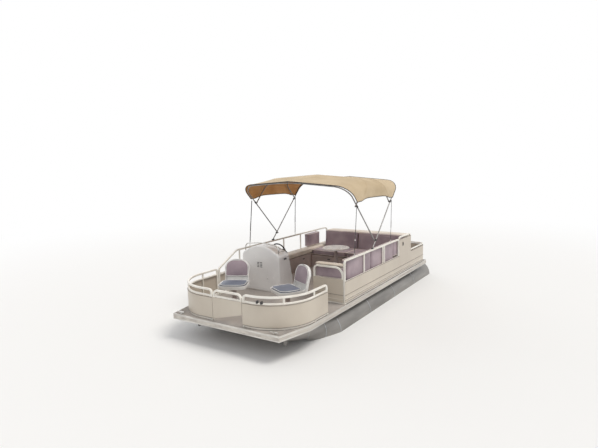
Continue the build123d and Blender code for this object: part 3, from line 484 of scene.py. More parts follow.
console_face = 1.8495
console_side = -0.1995
door = [frame_across(console_face, (-1.00, 0.06), (-0.46, 0.44), 0.05, 0.006, 0.5),
        box_aboard((-0.505, console_face - 0.006, 0.22), (-0.480, console_face, 0.29), 0.002)]
put("console_door_frame", door, gelcoat_white)
door_metal = []
for up in (0.13, 0.37):
    door_metal.append(bar([aboard(-1.008, console_face - 0.003, up + half) for half in (-0.03, 0.03)], 0.005))
    for lift in (-0.018, 0.018):
        door_metal.append(dome(aboard(-1.024, console_face, up + lift), (0, -1, 0), 0.004, 0.002))
door_metal.append(dome(aboard(-0.492, console_face - 0.006, 0.255), (0, -1, 0), 0.009, 0.004, 16))
put("console_door_hardware", door_metal, stainless)
vent_slots = []
for across in (-0.705, -0.635):
    for row in range(4):
        low = (across - 0.024, console_face - 0.003, 0.463 + row * 0.028)
        high = (across + 0.024, console_face + 0.002, 0.475 + row * 0.028)
        vent_slots.append(box_aboard(low, high, 0.001))
put("console_vent_slots", vent_slots, dash_black)
vent_rim = frame_across(console_face, (-0.742, 0.448), (-0.598, 0.574), 0.012, 0.004, 0.6)
put("console_vent_rim", [vent_rim], gelcoat_white)
catch = [box_aboard((console_side - 0.002, 1.995, 0.622), (console_side + 0.009, 2.075, 0.652), 0.004),
         box_aboard((console_side + 0.006, 2.020, 0.630), (console_side + 0.014, 2.050, 0.644), 0.003)]
put("console_catch", catch, dash_black)
foot_trim = []
for start, end in (((-1.113, 1.8485), (-0.202, 1.8485)), ((-0.1985, 1.852), (-0.1985, 2.278))):
    foot_trim.append(bar([aboard(*start, 0.012), aboard(*end, 0.012)], 0.010, 8, flat=0.5))
put("console_foot_trim", foot_trim, bumper_vinyl)

dash_lean = radians(12)
dash_up = 0.690
dash_aft = 2.260 - (dash_up - 0.300) * tan(dash_lean)
dash_out = Vector((0, cos(dash_lean), sin(dash_lean)))
dash_rise = Vector((0, -sin(dash_lean), cos(dash_lean)))


def on_dash(across, rise, out):
    """Place on the dash: across from the wheel to starboard, up its face, and out from it."""
    return aboard(-0.5 - across, dash_aft, dash_up) + dash_rise * rise + dash_out * out


gauge_glass = new_finish("gauge_glass", (0.02, 0.02, 0.025), 0.08)
tint(gauge_glass, (0.012, 0.012, 0.016), (0.03, 0.03, 0.034), 0.03)
gauge_white = new_finish("gauge_white", (0.75, 0.74, 0.70), 0.5)
tint(gauge_white, (0.70, 0.69, 0.65), (0.8, 0.79, 0.75), 0.01)
bezels, gauge_faces, marks = [], [], []
for across, rise in ((-0.170, 0.010), (0.210, 0.015), (0.310, 0.015)):
    middle = on_dash(across, rise, 0.0165)
    bezels.append(bar(circle(middle, 0.037, 40, rise=dash_rise), 0.0035, 8, True, up=dash_out))
    gauge_faces.append((circle(middle + dash_out * 0.0006, 0.034, 40, rise=dash_rise), [tuple(range(40))]))
    for tick in range(9):
        turn = radians(225 - tick * 33.75)
        ray = to_port * cos(turn) + dash_rise * sin(turn)
        marks.append(bar([middle + ray * reach + dash_out * 0.0012 for reach in (0.024, 0.030)], 0.0009, 6))
    needle = to_port * cos(radians(200)) + dash_rise * sin(radians(200))
    ends = [middle + needle * reach + dash_out * 0.0015 for reach in (-0.006, 0.026)]
    marks.append(bar(ends, [0.0018, 0.0006], 6))
put("gauge_bezels", bezels, stainless)
put("gauge_faces", gauge_faces, gauge_glass)
put("gauge_marks", marks, gauge_white)
switches = []
for index in range(5):
    base = on_dash(-0.185 + index * 0.034, -0.060, 0.0085)
    switches.append(bar([base, base + dash_out * 0.003], 0.009, 6, up=to_port))
    lever = [base + dash_out * 0.003, base + dash_out * 0.018 + dash_rise * 0.005]
    switches.append(bar(lever, [0.0028, 0.0038], 10))
key = on_dash(0.045, -0.062, 0.0085)
switches.append(bar([key, key + dash_out * 0.006, key + dash_out * 0.007], [0.011, 0.011, 0.007], 16))
put("dash_switches", switches, stainless)
lever_foot = on_dash(0.130, -0.055, 0.038)
lever_line = [lever_foot + dash_out * out + dash_rise * rise for out, rise in
              ((0, 0), (0.020, 0), (0.038, 0.030), (0.060, 0.105))]
grip = [lever_line[-1] + to_port * reach for reach in (-0.024, -0.020, 0.0, 0.020, 0.024)]
lever = [bar(lever_line, [0.016, 0.014, 0.009, 0.007], 14),
         bar(grip, [0.007, 0.011, 0.012, 0.011, 0.007], 14, up=dash_rise)]
put("throttle_lever", lever, dash_black)

# Steering wheel: a foam-padded steel rim with three flat spokes and a round hub cap.
# It turns on its own body.
wheel_grip = new_finish("wheel_grip", (0.03, 0.03, 0.032), 0.55)
tint(wheel_grip, (0.022, 0.022, 0.024), (0.05, 0.05, 0.052), 0.02)
relief(wheel_grip, 0.0006, 0.7, 0.0015)
dress("steering_wheel", wheel_grip, 0.0015)
cap_line = [on_dash(0, 0, 0.075 + rise) for rise in (0.0085, 0.0115, 0.0135, 0.014)]
hub_cap = bar(cap_line, [0.0295, 0.0290, 0.020, 0.004], 32, up=to_port)
put("wheel_hub_cap", [hub_cap], stainless, "helm_wheel")

# Lounges: rotomoulded seat bases in warm taupe with a fine pebble texture, standing on
# the carpet round the aft deck, with framed hatches and dark pulls in their faces.
base_taupe = new_finish("base_taupe", (0.40, 0.33, 0.31), 0.6)
tint(base_taupe, (0.34, 0.28, 0.26), (0.46, 0.38, 0.36), 0.4)
relief(base_taupe, 0.0008, 0.6, 0.003, 2)
gloss(base_taupe, 0.48, 0.7, 0.05)
dress("lounge_bases", base_taupe, 0.012)
hatch_frames, hatch_pulls = [], []
port_face, starboard_face, stern_face = 0.5695, -0.8945, 4.1285
for face, start, end, top in ((port_face, 1.98, 2.90, 0.245), (port_face, 3.06, 3.98, 0.245),
                              (starboard_face, 2.60, 3.40, 0.280), (starboard_face, 3.52, 4.06, 0.280)):
    outline = [aboard(face, aft, up) for aft, up in frame_path((start, 0.055), (end, top), 0.030)]
    hatch_frames.append(bar(outline, 0.0055, 8, True, flat=0.5, up=to_port))
    middle = (start + end) / 2
    low, high = (face - 0.003, middle - 0.035, top - 0.045), (face + 0.003, middle + 0.035, top - 0.022)
    hatch_pulls.append(box_aboard(low, high, 0.0015))
for start, end in ((-0.80, -0.06), (0.06, 0.50)):
    hatch_frames.append(frame_across(stern_face, (start, 0.055), (end, 0.245), 0.030, 0.0055, 0.5))
    middle = (start + end) / 2
    low, high = (middle - 0.035, stern_face - 0.003, 0.200), (middle + 0.035, stern_face + 0.003, 0.223)
    hatch_pulls.append(box_aboard(low, high, 0.0015))
put("lounge_hatch_frames", hatch_frames, base_taupe)
put("lounge_hatch_pulls", hatch_pulls, dash_black)
dress("table_pedestal", base_taupe, 0.002)
dress("chair_pedestals", base_taupe, 0.003)

# Cushions: plum and cream marine vinyl sewn over foam, each boxed with piping on its
# seams. The vinyl crowns over the foam and pulls in between the corners.
def grained_vinyl(name, colour, dark, light, blotch=0.35, smooth=0.38):
    """Marine vinyl over foam: a fine leather grain and soft creases."""
    finish = new_finish(name, colour, 0.5)
    tint(finish, dark, light, blotch, 5)
    gloss(finish, smooth, 0.6, 0.06)
    relief(finish, 0.0007, 0.7, 0.004, 3)
    relief(finish, 0.006, 0.25, 0.09, 2, (1, 1, 1), 0.6)
    return finish


plum_vinyl = grained_vinyl("plum_vinyl", (0.33, 0.26, 0.29), (0.26, 0.20, 0.23), (0.39, 0.31, 0.34))
cream_vinyl = grained_vinyl("cream_vinyl", (0.70, 0.63, 0.55), (0.60, 0.53, 0.45), (0.76, 0.69, 0.61))


def foam_block(low, high, corner=0.04, crown=0.012, place=None, far_corner=None):
    """Boxed cushion between two corners, a little slack inside them, before it is stuffed.
    Its corners toward +y may be rounder; seams are the point numbers round its two edges."""
    low, high = np.array(low, float), np.array(high, float)
    slack = 0.006
    half, middle = (high - low) / 2 - slack, (high + low) / 2
    form = bmesh.new()
    bmesh.ops.create_cube(form, size=2.0)
    bmesh.ops.subdivide_edges(form, edges=form.edges[:], cuts=16, use_grid_fill=True)
    grid, loops = unpack(form)
    grid = np.array(grid)
    flat = np.sin(grid[:, :2] * pi / 2) * half[:2]
    corner = np.where(grid[:, 1] > 0, far_corner or corner, corner)[:, None]
    inner = half[:2] - corner
    core = np.clip(flat, -inner, inner)
    over = (flat - core) / corner
    length = np.maximum(np.linalg.norm(over, axis=1), 1e-9)
    most = np.max(np.abs(over), axis=1)
    flat = core + over * (most / length)[:, None] * corner
    rise = (1 - (flat[:, 0] / half[0]) ** 4) * (1 - (flat[:, 1] / half[1]) ** 4)
    on_face = np.abs(grid[:, 2]) > 0.99
    height = grid[:, 2] * (half[2] - crown) + np.sign(grid[:, 2]) * on_face * crown * rise
    points = np.column_stack([flat, height]) + middle
    on_rim = np.maximum(np.abs(grid[:, 0]), np.abs(grid[:, 1])) > 0.999
    seams = []
    for face in (1, -1):
        rim = np.where(on_rim & (np.abs(grid[:, 2] - face) < 0.001))[0]
        turn = np.arctan2(grid[rim, 1], grid[rim, 0])
        seams.append([int(index) for index in rim[np.argsort(turn)]])
    if place is not None:
        points = np.array([place @ Vector(point) for point in points])
    return {"points": points, "faces": loops, "seams": seams, "low": low, "high": high, "place": place}


def stuff(obj, points, pinned, swell):
    """Blow the cloth up with its seams held; no point moves further than the swell."""
    held = obj.vertex_groups.new(name="seams")
    held.add(pinned, 1.0, "REPLACE")
    cloth = obj.modifiers.new("stuffing", "CLOTH")
    cloth.settings.quality = 4
    cloth.settings.mass = 0.4
    cloth.settings.tension_stiffness = 12
    cloth.settings.compression_stiffness = 6
    cloth.settings.bending_stiffness = 2
    cloth.settings.use_pressure = True
    cloth.settings.uniform_pressure_force = 4.0
    cloth.settings.vertex_group_mass = "seams"
    cloth.settings.effector_weights.gravity = 0
    cloth.point_cache.frame_start = 1
    cloth.point_cache.frame_end = 20
    for step in range(1, 21):
        bpy.context.scene.frame_set(step)
    shaped = obj.evaluated_get(bpy.context.evaluated_depsgraph_get()).data
    moved = np.array([vertex.co for vertex in shaped.vertices]) - points
    obj.modifiers.remove(cloth)
    bpy.context.scene.frame_set(1)
    reach = np.maximum(np.linalg.norm(moved, axis=1), 1e-9)
    return points + moved * (np.minimum(reach, swell) / reach)[:, None]


def sew(name, blocks, vinyl, piping, replace="", body="boat", swell=0.014):
    """Stuff foam blocks by cloth pressure with their seams held, then pipe the seams."""
    points = np.vstack([block["points"] for block in blocks])
    faces, pinned, first = [], [], 0
    for block in blocks:
        faces += [tuple(first + index for index in loop) for loop in block["faces"]]
        pinned += [first + index for seam in block["seams"] for index in seam]
        first += len(block["points"])
    mesh = new_mesh(name, [tuple(point) for point in points], faces, vinyl)
    obj = new_object(name, mesh)
    points = stuff(obj, points, pinned, swell)
    cords, first = [], 0
    for block in blocks:
        last = first + len(block["points"])
        if block["place"] is None:
            points[first:last] = np.clip(points[first:last], block["low"] + 0.0015, block["high"] - 0.0015)
        for seam in block["seams"]:
            cords.append(bar([points[first + index] for index in seam], 0.0045, 8, True))
        first = last
    mesh.vertices.foreach_set("co", points.astype(np.float32).ravel())
    smooth = obj.modifiers.new("vinyl", "SUBSURF")
    smooth.levels = smooth.render_levels = 1
    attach(obj, body)
    if replace:
        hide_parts(replace)
    put(name + "_piping", cords, piping, body, 180)


def pad_aboard(low, high, **form):
    """Foam block between two corners given across, aft and up."""
    return foam_block(aboard(*low), aboard(*high), **form)


port_lengths = [(1.851, 2.9855), (2.9895, 4.124)]
stern_widths = [(-0.890, -0.002), (0.002, 1.135)]
seats = [pad_aboard((0.571, start, 0.290), (1.026, end, 0.420)) for start, end in port_lengths]
seats += [pad_aboard((low, 4.130, 0.290), (high, 4.700, 0.420)) for low, high in stern_widths]
sew("seat_cushions_sewn", seats, plum_vinyl, cream_vinyl, "seat_cushions")
backs = [
    pad_aboard((1.029, 1.991, 0.293), (1.156, 2.9855, 0.755)),
    pad_aboard((1.029, 2.9895, 0.293), (1.156, 4.124, 0.755)),
    pad_aboard((0.571, 1.851, 0.423), (1.146, 1.981, 0.650)),
    pad_aboard((1.029, 4.128, 0.424), (1.156, 4.352, 0.755)),
    pad_aboard((-1.156, 4.215, 0.442), (-1.026, 4.775, 0.755)),
]
rear_lean = Matrix.Rotation(-0.115, 4, "X")
for low, high in stern_widths:
    half = Vector(((high - low) / 2, 0.052, 0.245))
    stands = Matrix.Translation(aboard((low + high) / 2, 4.800, 0.545)) @ rear_lean
    backs.append(foam_block(-half, half, place=stands))
sew("back_cushions_sewn", backs, plum_vinyl, cream_vinyl, "back_cushions")
creams = [
    pad_aboard((-1.156, 2.480, 0.330), (-0.896, 5.180, 0.440)),
    pad_aboard((-0.890, 4.871, 0.685), (1.135, 5.180, 0.795)),
    pad_aboard((0.571, 1.851, 0.650), (1.146, 1.985, 0.690), corner=0.03, crown=0.006),
]
sew("cream_pads_sewn", creams, cream_vinyl, cream_vinyl, "cream_pads")

# Table: a round white laminate top with a soft edge and four cup holders let into it,
# on a taupe post with a screwed foot.
table_white = new_finish("table_white", (0.81, 0.79, 0.75), 0.28)
tint(table_white, (0.75, 0.72, 0.68), (0.86, 0.84, 0.80), 0.1, 5)
gloss(table_white, 0.2, 0.4, 0.04)
dress("table_top", table_white, 0.003)
cup_rings = []
for turn in (45, 135, 225, 315):
    middle = aboard(0.05 + 0.19 * cos(radians(turn)), 3.6 + 0.19 * sin(radians(turn)), 0.6255)
    cup_rings.append(bar(circle(middle, 0.040, 32), 0.003, 8, True, 0.6))
put("table_cup_rings", cup_rings, stainless)

# Swivel chairs: white moulded shells with plum back pads and blue-grey seat pads, on
# posts that turn.
nylon_grey = new_finish("nylon_grey", (0.16, 0.155, 0.15), 0.5)
tint(nylon_grey, (0.12, 0.115, 0.11), (0.20, 0.195, 0.19), 0.03)
chair_white = new_finish("chair_white", (0.80, 0.79, 0.77), 0.3)
tint(chair_white, (0.72, 0.70, 0.68), (0.84, 0.83, 0.81), 0.2)
gloss(chair_white, 0.22, 0.42, 0.05)
slate_vinyl = grained_vinyl("slate_vinyl", (0.135, 0.15, 0.195), (0.105, 0.12, 0.16), (0.165, 0.18, 0.23),
                            0.25, 0.42)
seat_up = 0.380
chair_lean = radians(14)
back_height = (0.800 - seat_up - 0.010) / cos(chair_lean)
for side, across, aft, turn in (("starboard", -0.360, 0.730, 28), ("port", 0.640, 0.880, -28)):
    chair = "chair_" + side
    dress("chair_shell_" + side, chair_white, 0.003)
    pan = Matrix.Translation(aboard(across, aft, seat_up)) @ Matrix.Rotation(radians(turn), 4, "Z")
    seat_pad = foam_block((-0.219, -0.210, 0.012), (0.219, 0.156, 0.098), 0.085, 0.016, pan)
    sew("chair_seat_pad_" + side, [seat_pad], slate_vinyl, chair_white,
        "chair_pads_" + side, chair, 0.010)
    behind = pan @ Matrix.Translation((0, 0.205, 0.010)) @ Matrix.Rotation(pi / 2 - chair_lean, 4, "X")
    back_pad = foam_block((-0.200, 0.120, -0.030), (0.200, back_height - 0.018, 0.020), 0.035, 0.010,
                          behind, 0.135)
    sew("chair_back_pad_" + side, [back_pad], plum_vinyl, chair_white, body=chair,
        swell=0.008)
    post_line = [aboard(across, aft, up) for up in (0.338, 0.346, 0.360)]
    swivel = bar(post_line, [0.046, 0.050, 0.046], 24, up=to_port)
    put("chair_swivel_" + side, [swivel], nylon_grey)
    screws = [dome(place, (0, 0, 1), 0.008, 0.004) for place in circle(aboard(across, aft, 0.012), 0.140, 6)]
    put("chair_foot_screws_" + side, screws, stainless)

# Sun top: tan woven acrylic stretched over four aluminium bows and held down by black
# webbing straps. Its hem and bow sleeves are sewn, and its inner face is painted orange-tan:
# a painted glow of light shining through the thin cloth.
bow_tube_finish = new_finish("bow_tube_finish", (0.32, 0.315, 0.31), 0.5, 0.9)
tint(bow_tube_finish, (0.27, 0.265, 0.26), (0.37, 0.365, 0.36), 0.1)
gloss(bow_tube_finish, 0.42, 0.60, 0.02)
dress("sun_bow_main sun_bow_front sun_bow_fore sun_bow_aft", bow_tube_finish)
nylon_black = new_finish("nylon_black", (0.04, 0.04, 0.04), 0.5)
tint(nylon_black, (0.03, 0.03, 0.03), (0.06, 0.06, 0.06), 0.03)
dress("sun_feet", nylon_black, 0.004)
webbing_black = new_finish("webbing_black", (0.06, 0.05, 0.05), 0.8)
tint(webbing_black, (0.04, 0.035, 0.035), (0.09, 0.08, 0.08), 0.01)
relief(webbing_black, 0.001, 0.9, 0.002, 4, (1, 1, 3))
canopy_tan = new_finish("canopy_tan", (0.56, 0.44, 0.28), 0.85)
tint(canopy_tan, (0.50, 0.39, 0.25), (0.62, 0.50, 0.34), 0.5, 5)
relief(canopy_tan, 0.0006, 0.6, 0.0022, 1)
relief(canopy_tan, 0.010, 0.3, 0.22, 2, (2.5, 1, 1), 0.5)
# The inner face's orange is painted light, the glow of light passing through the cloth, not a colour of the
# fabric.
canopy_painted_glow = new_finish("canopy_painted_glow", (0.62, 0.34, 0.14), 0.9)
tint(canopy_painted_glow, (0.55, 0.29, 0.11), (0.68, 0.40, 0.18), 0.4, 5)
relief(canopy_painted_glow, 0.0006, 0.6, 0.0022, 1)

sun_half = 1.178
sun_corner = 0.3
crown_drop = 0.13
foot_aft, foot_up = 3.0, 0.8
leg_lean = radians(44)
fore_slide, aft_slide, mid_slide = 0.190, 1.190, 1.040


def along_main(distance):
    """Place (aft, up) on the main bow's leg at a distance from its foot."""
    return foot_aft + distance * cos(leg_lean), foot_up + distance * sin(leg_lean)


def along_front(distance):
    """Place (aft, up) on the front bow's leg at a distance from its foot."""
    aft, up = along_main(fore_slide)
    return aft - distance * cos(leg_lean), up + distance * sin(leg_lean)


def bow_line(bow, raised=0.0, steps=96):
    """Points over a bow from hem to hem, evenly spread, with the hem raised by a distance."""
    (aft, up), lean, way, crown, hem = bow
    legs = Vector((0, way * cos(radians(lean)), sin(radians(lean))))
    half, low, hem_up = sun_half + 0.020, crown - crown_drop, hem + raised
    corners = [(-half, hem_up, 0), (-half, low, 0), (0, crown, 0), (half, low, 0), (half, hem_up, 0)]
    path = bend(corners, sun_corner, 12)
    lengths = [0.0]
    for before, after in zip(path, path[1:]):
        lengths.append(lengths[-1] + (after - before).length)
    spaced = []
    for step in range(steps + 1):
        want = lengths[-1] * step / steps
        index = min(max(int(np.searchsorted(lengths, want)), 1), len(path) - 1)
        share = (want - lengths[index - 1]) / (lengths[index] - lengths[index - 1])
        flat = path[index - 1].lerp(path[index], share)
        spaced.append(aboard(flat.x, aft, up) + legs * flat.y)
    return spaced


cover = 0.024
front_hem = 1.150
main_hem = 1.300
mid_hem = 0.122
mid_crown = 0.757
# foot (aft, up), lean, way along the boat, crown and hem as distances up the legs
sun_bows = [
    (along_main(fore_slide), 44, -1, 1.676 + cover, front_hem),
    (along_front(mid_slide), 45, 1, mid_crown + cover, mid_hem),
    (along_main(aft_slide), 45, -1, mid_crown + cover, mid_hem),
    (along_main(0), 44, 1, 1.870 + cover, main_hem),
]
# rows, sag at mid bay and lift of the side hem between each two bows
bays = [(16, 0.016, 0.0), (14, 0.008, 0.068), (16, 0.016, 0.0)]
across_steps = 96
cloth_rows = []
for bay, (rows, sag, scallop) in enumerate(bays):
    for row in range(rows + (bay == len(bays) - 1)):
        share = row / rows
        arch = scallop * (1 - (2 * share - 1) ** 6)
        before, after = bow_line(sun_bows[bay], arch), bow_line(sun_bows[bay + 1], arch)
        drop = sag * 4 * share * (1 - share)
        line = []
        for column in range(across_steps + 1):
            point = before[column].lerp(after[column], share)
            edge = abs(2 * column / across_steps - 1)
            inward = -np.sign(point.x) * min(1, max(0, edge - 0.45) * 3)
            line.append(point + Vector((inward, 0, -max(0.0, 1 - edge * 1.2))) * drop)
        cloth_rows.append(line)
cloth_faces = []
for row in range(len(cloth_rows) - 1):
    for column in range(across_steps):
        low = row * (across_steps + 1) + column
        cloth_faces.append((low, low + 1, low + across_steps + 2, low + across_steps + 1))
cloth_points = [point for line in cloth_rows for point in line]
canopy = put("sun_top_cloth", [(cloth_points, cloth_faces)], canopy_tan, sharp=180)
canopy.data.materials.append(canopy_painted_glow)
cloth = canopy.modifiers.new("cloth", "SOLIDIFY")
cloth.thickness = 0.0016
cloth.offset = 0
cloth.material_offset = 1
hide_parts("sun_canopy")
hems = [bar(cloth_rows[row], 0.0075, 8) for row in (0, -1)]
hems += [bar([line[column] for line in cloth_rows], 0.0055, 8) for column in (0, -1)]
binding = put("sun_top_binding", hems, webbing_black, sharp=180)
stitches = []
for row in (bays[0][0], bays[0][0] + bays[1][0]):
    for beside in (row - 1, row + 1):
        pairs = zip(cloth_rows[row], cloth_rows[beside])
        stitches.append(bar([point.lerp(other, 0.35) for point, other in pairs], 0.0022, 6))
thread = new_finish("canopy_thread", (0.42, 0.31, 0.19), 0.8)
tint(thread, (0.36, 0.26, 0.15), (0.48, 0.36, 0.22), 0.01)
top_seams = put("sun_top_seams", stitches, thread, sharp=180)


for piece in (canopy, binding, top_seams):
    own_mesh(piece)


def jaw_slide(place, way, carried_across):
    """Sleeve clamped on a bow's leg, and the pin from one side to the other of its jaw."""
    side = 1 if place.x > 0 else -1
    ends = [place + way * reach for reach in (-0.026, -0.024, 0.024, 0.026)]
    pin = [Vector((side * across, place.y, place.z)) for across in carried_across]
    return [bar(ends, [0.0150, 0.0165, 0.0165, 0.0150], 20), bar(pin, 0.0045),
            dome(pin[1], (side, 0, 0), 0.0085, 0.004)]


main_way = Vector((0, cos(leg_lean), sin(leg_lean)))
front_way = Vector((0, -cos(leg_lean), sin(leg_lean)))
main_slides, front_slides, foot_pins = [], [], []
for side in (1, -1):
    for distance in (fore_slide, aft_slide):
        main_slides += jaw_slide(aboard(side * sun_half, *along_main(distance)), main_way, (1.138, 1.1965))
    place = aboard(side * (sun_half - 0.030), *along_front(mid_slide))
    front_slides += jaw_slide(place, front_way, (1.108, 1.1660))
    pin = [aboard(side * across, foot_aft, 0.797) for across in (1.159, 1.197)]
    foot_pins += [bar(pin, 0.0042), dome(pin[1], (side, 0, 0), 0.008, 0.004)]
    for shift in (-0.022, 0.022):
        foot_pins.append(dome(aboard(side * 1.1945, foot_aft + shift, 0.790), (side, 0, 0), 0.0045, 0.0025))
put("sun_slides_main", main_slides, nylon_black)
put("sun_slides_front", front_slides, nylon_black, "sun_front")
put("sun_foot_pins", foot_pins, stainless)

# Hold-down straps: 25 mm black webbing from eyes on the top rail to the hem's corners,
# each with a slide buckle and a snap hook.
web_half = 0.0125
for name, eye_aft, (top_aft, top_up) in (("front", 2.200, along_front(front_hem)),
                                         ("rear", 3.880, along_main(main_hem - 0.020))):
    webs, metal = [], []
    for side in (1, -1):
        low = aboard(side * 1.182, eye_aft, 0.787)
        high = aboard(side * 1.182, top_aft, top_up - 0.030)
        way = (high - low).normalized()
        out = Vector((side * 0.004, 0, 0))
        web = [low + way * 0.045, low.lerp(high, 0.5) + out / 4, high]
        doubled = [low.lerp(high, 0.30), low.lerp(high, 0.32) + out,
                   low.lerp(high, 0.50) + out, low.lerp(high, 0.52)]
        webs += [bar(line, web_half, 10, flat=0.11, up=to_port) for line in (web, doubled)]
        buckle = [low.lerp(high, 0.31) + out / 2 + way * reach for reach in (-0.016, -0.014, 0.014, 0.016)]
        metal.append(bar(buckle, [0.0150, 0.0165, 0.0165, 0.0150], 8, flat=0.30, up=to_port))
        hook = [low + way * reach for reach in (0.004, 0.016, 0.040, 0.050)]
        metal.append(bar(hook, [0.004, 0.0065, 0.0075, 0.0050], 12, flat=0.6, up=to_port))
        metal.append(bar(circle(hook[0], 0.010, 20, to_stern, upward), 0.0022, 8, True, up=to_port))
    straps = put("sun_straps_" + name, webs, webbing_black, sharp=180)
    hooks = put("sun_strap_hooks_" + name, metal, stainless)
    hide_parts("sun_straps")
    if name == "front":
        for piece in (straps, hooks):
            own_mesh(piece)

# Outboard: a cast aluminium leg and a moulded cowl in gloss black, hung on the transom
# by a clamp bracket and stored tilted up.
motor_black = new_finish("motor_black", (0.03, 0.03, 0.033), 0.25, coat=0.5)
tint(motor_black, (0.022, 0.022, 0.025), (0.045, 0.045, 0.05), 0.2)
gloss(motor_black, 0.18, 0.4, 0.05)
dress("motor_leg lower_unit motor_swivel motor_clamp engine_block", motor_black, 0.004)
dress("propeller", motor_black, 0.0015)
stowed = radians(65)
tilt_aft, tilt_up = 6.490, -0.050
motor_back = Vector((0, cos(stowed), sin(stowed)))
motor_up = Vector((0, -sin(stowed), cos(stowed)))


def on_motor(across, back, rise):
    """Place on the outboard: across, back from its tilt tube and up its own height."""
    return aboard(across, tilt_aft, tilt_up) + motor_back * back + motor_up * rise


def cowl_ring(rise, middle, length, width, sides=48):
    """Oval round the cowl at a height, squared off at its corners."""
    ring = []
    for step in range(sides):
        x, y = cos(2 * pi * step / sides), sin(2 * pi * step / sides)
        x, y = [np.sign(share) * abs(share) ** 0.72 / 2 for share in (x, y)]
        ring.append(on_motor(x * width, middle + y * length, rise))
    return ring


# height, middle, length and width of the cowl's rings, in metres
cowl_rings = [(0.125, 0.190, 0.444, 0.284), (0.132, 0.190, 0.456, 0.296), (0.160, 0.191, 0.476, 0.316),
              (0.186, 0.192, 0.490, 0.331), (0.189, 0.192, 0.484, 0.325), (0.194, 0.192, 0.484, 0.325),
              (0.197, 0.192, 0.490, 0.331), (0.230, 0.192, 0.489, 0.330), (0.290, 0.190, 0.486, 0.328),
              (0.345, 0.188, 0.478, 0.321), (0.395, 0.184, 0.455, 0.303), (0.435, 0.179, 0.420, 0.276),
              (0.465, 0.174, 0.370, 0.240), (0.485, 0.170, 0.300, 0.190), (0.496, 0.168, 0.200, 0.125),
              (0.499, 0.167, 0.060, 0.040)]
cowl_skin = skin([cowl_ring(*ring) for ring in cowl_rings])
cowl = put("motor_cowl_shell", [cowl_skin], motor_black, "motor_steer", 50)
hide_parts("motor_cowl")
rubber = new_finish("cowl_rubber", (0.02, 0.02, 0.02), 0.7)
tint(rubber, (0.014, 0.014, 0.014), (0.03, 0.03, 0.03), 0.02)
seal = bar(cowl_ring(0.1915, 0.192, 0.484, 0.325, 64), 0.0026, 6, True, up=motor_up)
put("cowl_seal", [seal], rubber, "motor_steer")
silver = new_finish("motor_silver", (0.45, 0.46, 0.47), 0.3, 0.8)
tint(silver, (0.36, 0.37, 0.38), (0.52, 0.53, 0.54), 0.03)
clamp_nuts = []
for side in (1, -1):
    clamp_nuts.append(dome(on_motor(side * 0.0955, 0, 0), (side, 0, 0), 0.017, 0.010, 6))
    clamp_nuts.append(dome(on_motor(side * 0.1045, 0, 0), (side, 0, 0), 0.010, 0.006, 12))
put("motor_clamp_nuts", clamp_nuts, silver, "motor_tilt")
latch = rounded_box(on_motor(-0.030, -0.052, 0.150) - Vector((0, 0.006, 0.006)),
                    on_motor(0.030, -0.052, 0.150) + Vector((0, 0.006, 0.012)), 0.003)
put("cowl_latch", [latch], silver, "motor_steer")
nut_line = [on_motor(0, 0.4175 + back, -0.770) for back in (-0.002, 0.012, 0.013, 0.022)]
put("propeller_nut", [bar(nut_line, [0.016, 0.016, 0.008, 0.007], 6)], silver, "propeller")
clamp_bolts = []
for side in (1, -1):
    for drop in (0.055, 0.115):
        bolt_aft = 6.398 - 0.21 * drop
        bolt = [aboard(side * 0.100, bolt_aft + reach, -0.095 - drop) for reach in (-0.022, 0.004)]
        clamp_bolts.append(bar(bolt, 0.0075, 6, up=to_port))
put("transom_bolts", clamp_bolts, stainless)

# Mooring cleats: cast stainless horns screwed through the deck's corners, two at the
# bow and two at the stern.
dress("cleats", stainless, 0.003)

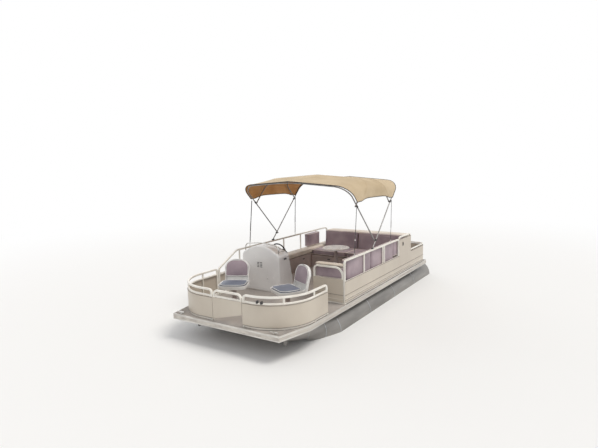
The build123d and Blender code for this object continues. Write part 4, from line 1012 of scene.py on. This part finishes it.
# Floor, lamps and camera: a floor at the waterline that fades to plain white far off,
# three wide soft suns, a white sky and the photograph's own viewpoint.
floor_level = 0.31
floor_half = 60
corners = ((-1, -1), (1, -1), (1, 1), (-1, 1))
corners = [(x * floor_half, y * floor_half, floor_level) for x, y in corners]
floor_white = new_finish("floor_white", (0.86, 0.86, 0.86), 0.9)
tree = floor_white.node_tree
reach = add_node(tree, "VectorMath", Vector=add_node(tree, "TexCoord").outputs["Object"])
reach.operation = "LENGTH"
far = add_node(tree, "MapRange", Value=reach.outputs["Value"], From_Min=5.0, From_Max=16.0)
far.interpolation_type = "SMOOTHSTEP"
mix = add_node(tree, "MixShader", Fac=far.outputs["Result"])
tree.links.new(tree.nodes["Principled BSDF"].outputs["BSDF"], mix.inputs[1])
tree.links.new(add_node(tree, "Emission").outputs["Emission"], mix.inputs[2])
tree.links.new(mix.outputs["Shader"], tree.nodes["Material Output"].inputs["Surface"])
floor = new_object("floor", new_mesh("floor", corners, [(0, 1, 2, 3)], floor_white))

world = bpy.data.worlds.new("studio")
bpy.context.scene.world = world
world.use_nodes = True
tree = world.node_tree
sky = tree.nodes["Background"]
sky.inputs["Color"].default_value = (1, 1, 1, 1)
rays = add_node(tree, "LightPath").outputs
seen = rays["Is Camera Ray"]
for kind in ("Is Glossy Ray", "Is Transmission Ray"):
    either = add_node(tree, "Math", Value=seen)
    either.operation = "MAXIMUM"
    tree.links.new(rays[kind], either.inputs[1])
    seen = either.outputs["Value"]
strength = add_node(tree, "MapRange", Value=seen, To_Min=0.50, To_Max=1.0)
tree.links.new(strength.outputs["Result"], sky.inputs["Strength"])


def sunlight(name, way, power, softness, colour=(1, 1, 1)):
    """Even soft light that travels along a direction."""
    light = bpy.data.lights.new(name, "SUN")
    light.energy = power
    light.angle = radians(softness)
    light.color = colour
    new_object(name, light).rotation_euler = Vector(way).to_track_quat("-Z", "Y").to_euler()


sunlight("key", (-0.55, -0.15, -1.0), 1.5, 24, (1.0, 0.965, 0.91))
sunlight("fill", (-0.35, 0.9, -0.75), 0.55, 60)
sunlight("rim", (1.0, -0.35, -0.6), 0.35, 50)

azimuth, elevation, roll = radians(33.060), radians(7.504), radians(-1.150)
back = Vector((sin(azimuth) * cos(elevation), -cos(azimuth) * cos(elevation), sin(elevation)))
right = Vector((cos(azimuth), sin(azimuth), 0))
up = back.cross(right)
right, up = right * cos(roll) + up * sin(roll), up * cos(roll) - right * sin(roll)
photo_width, focal_length = 598, 473.824
view = bpy.data.cameras.new("camera")
view.sensor_width = 36
view.lens = focal_length / photo_width * view.sensor_width
camera = new_object("camera", view)
turned = Matrix((right, up, back)).transposed().to_4x4()
camera.matrix_world = Matrix.Translation((4.875, -9.0, 3.211)) @ turned
bpy.context.scene.camera = camera
bpy.context.scene.view_settings.view_transform = "Standard"
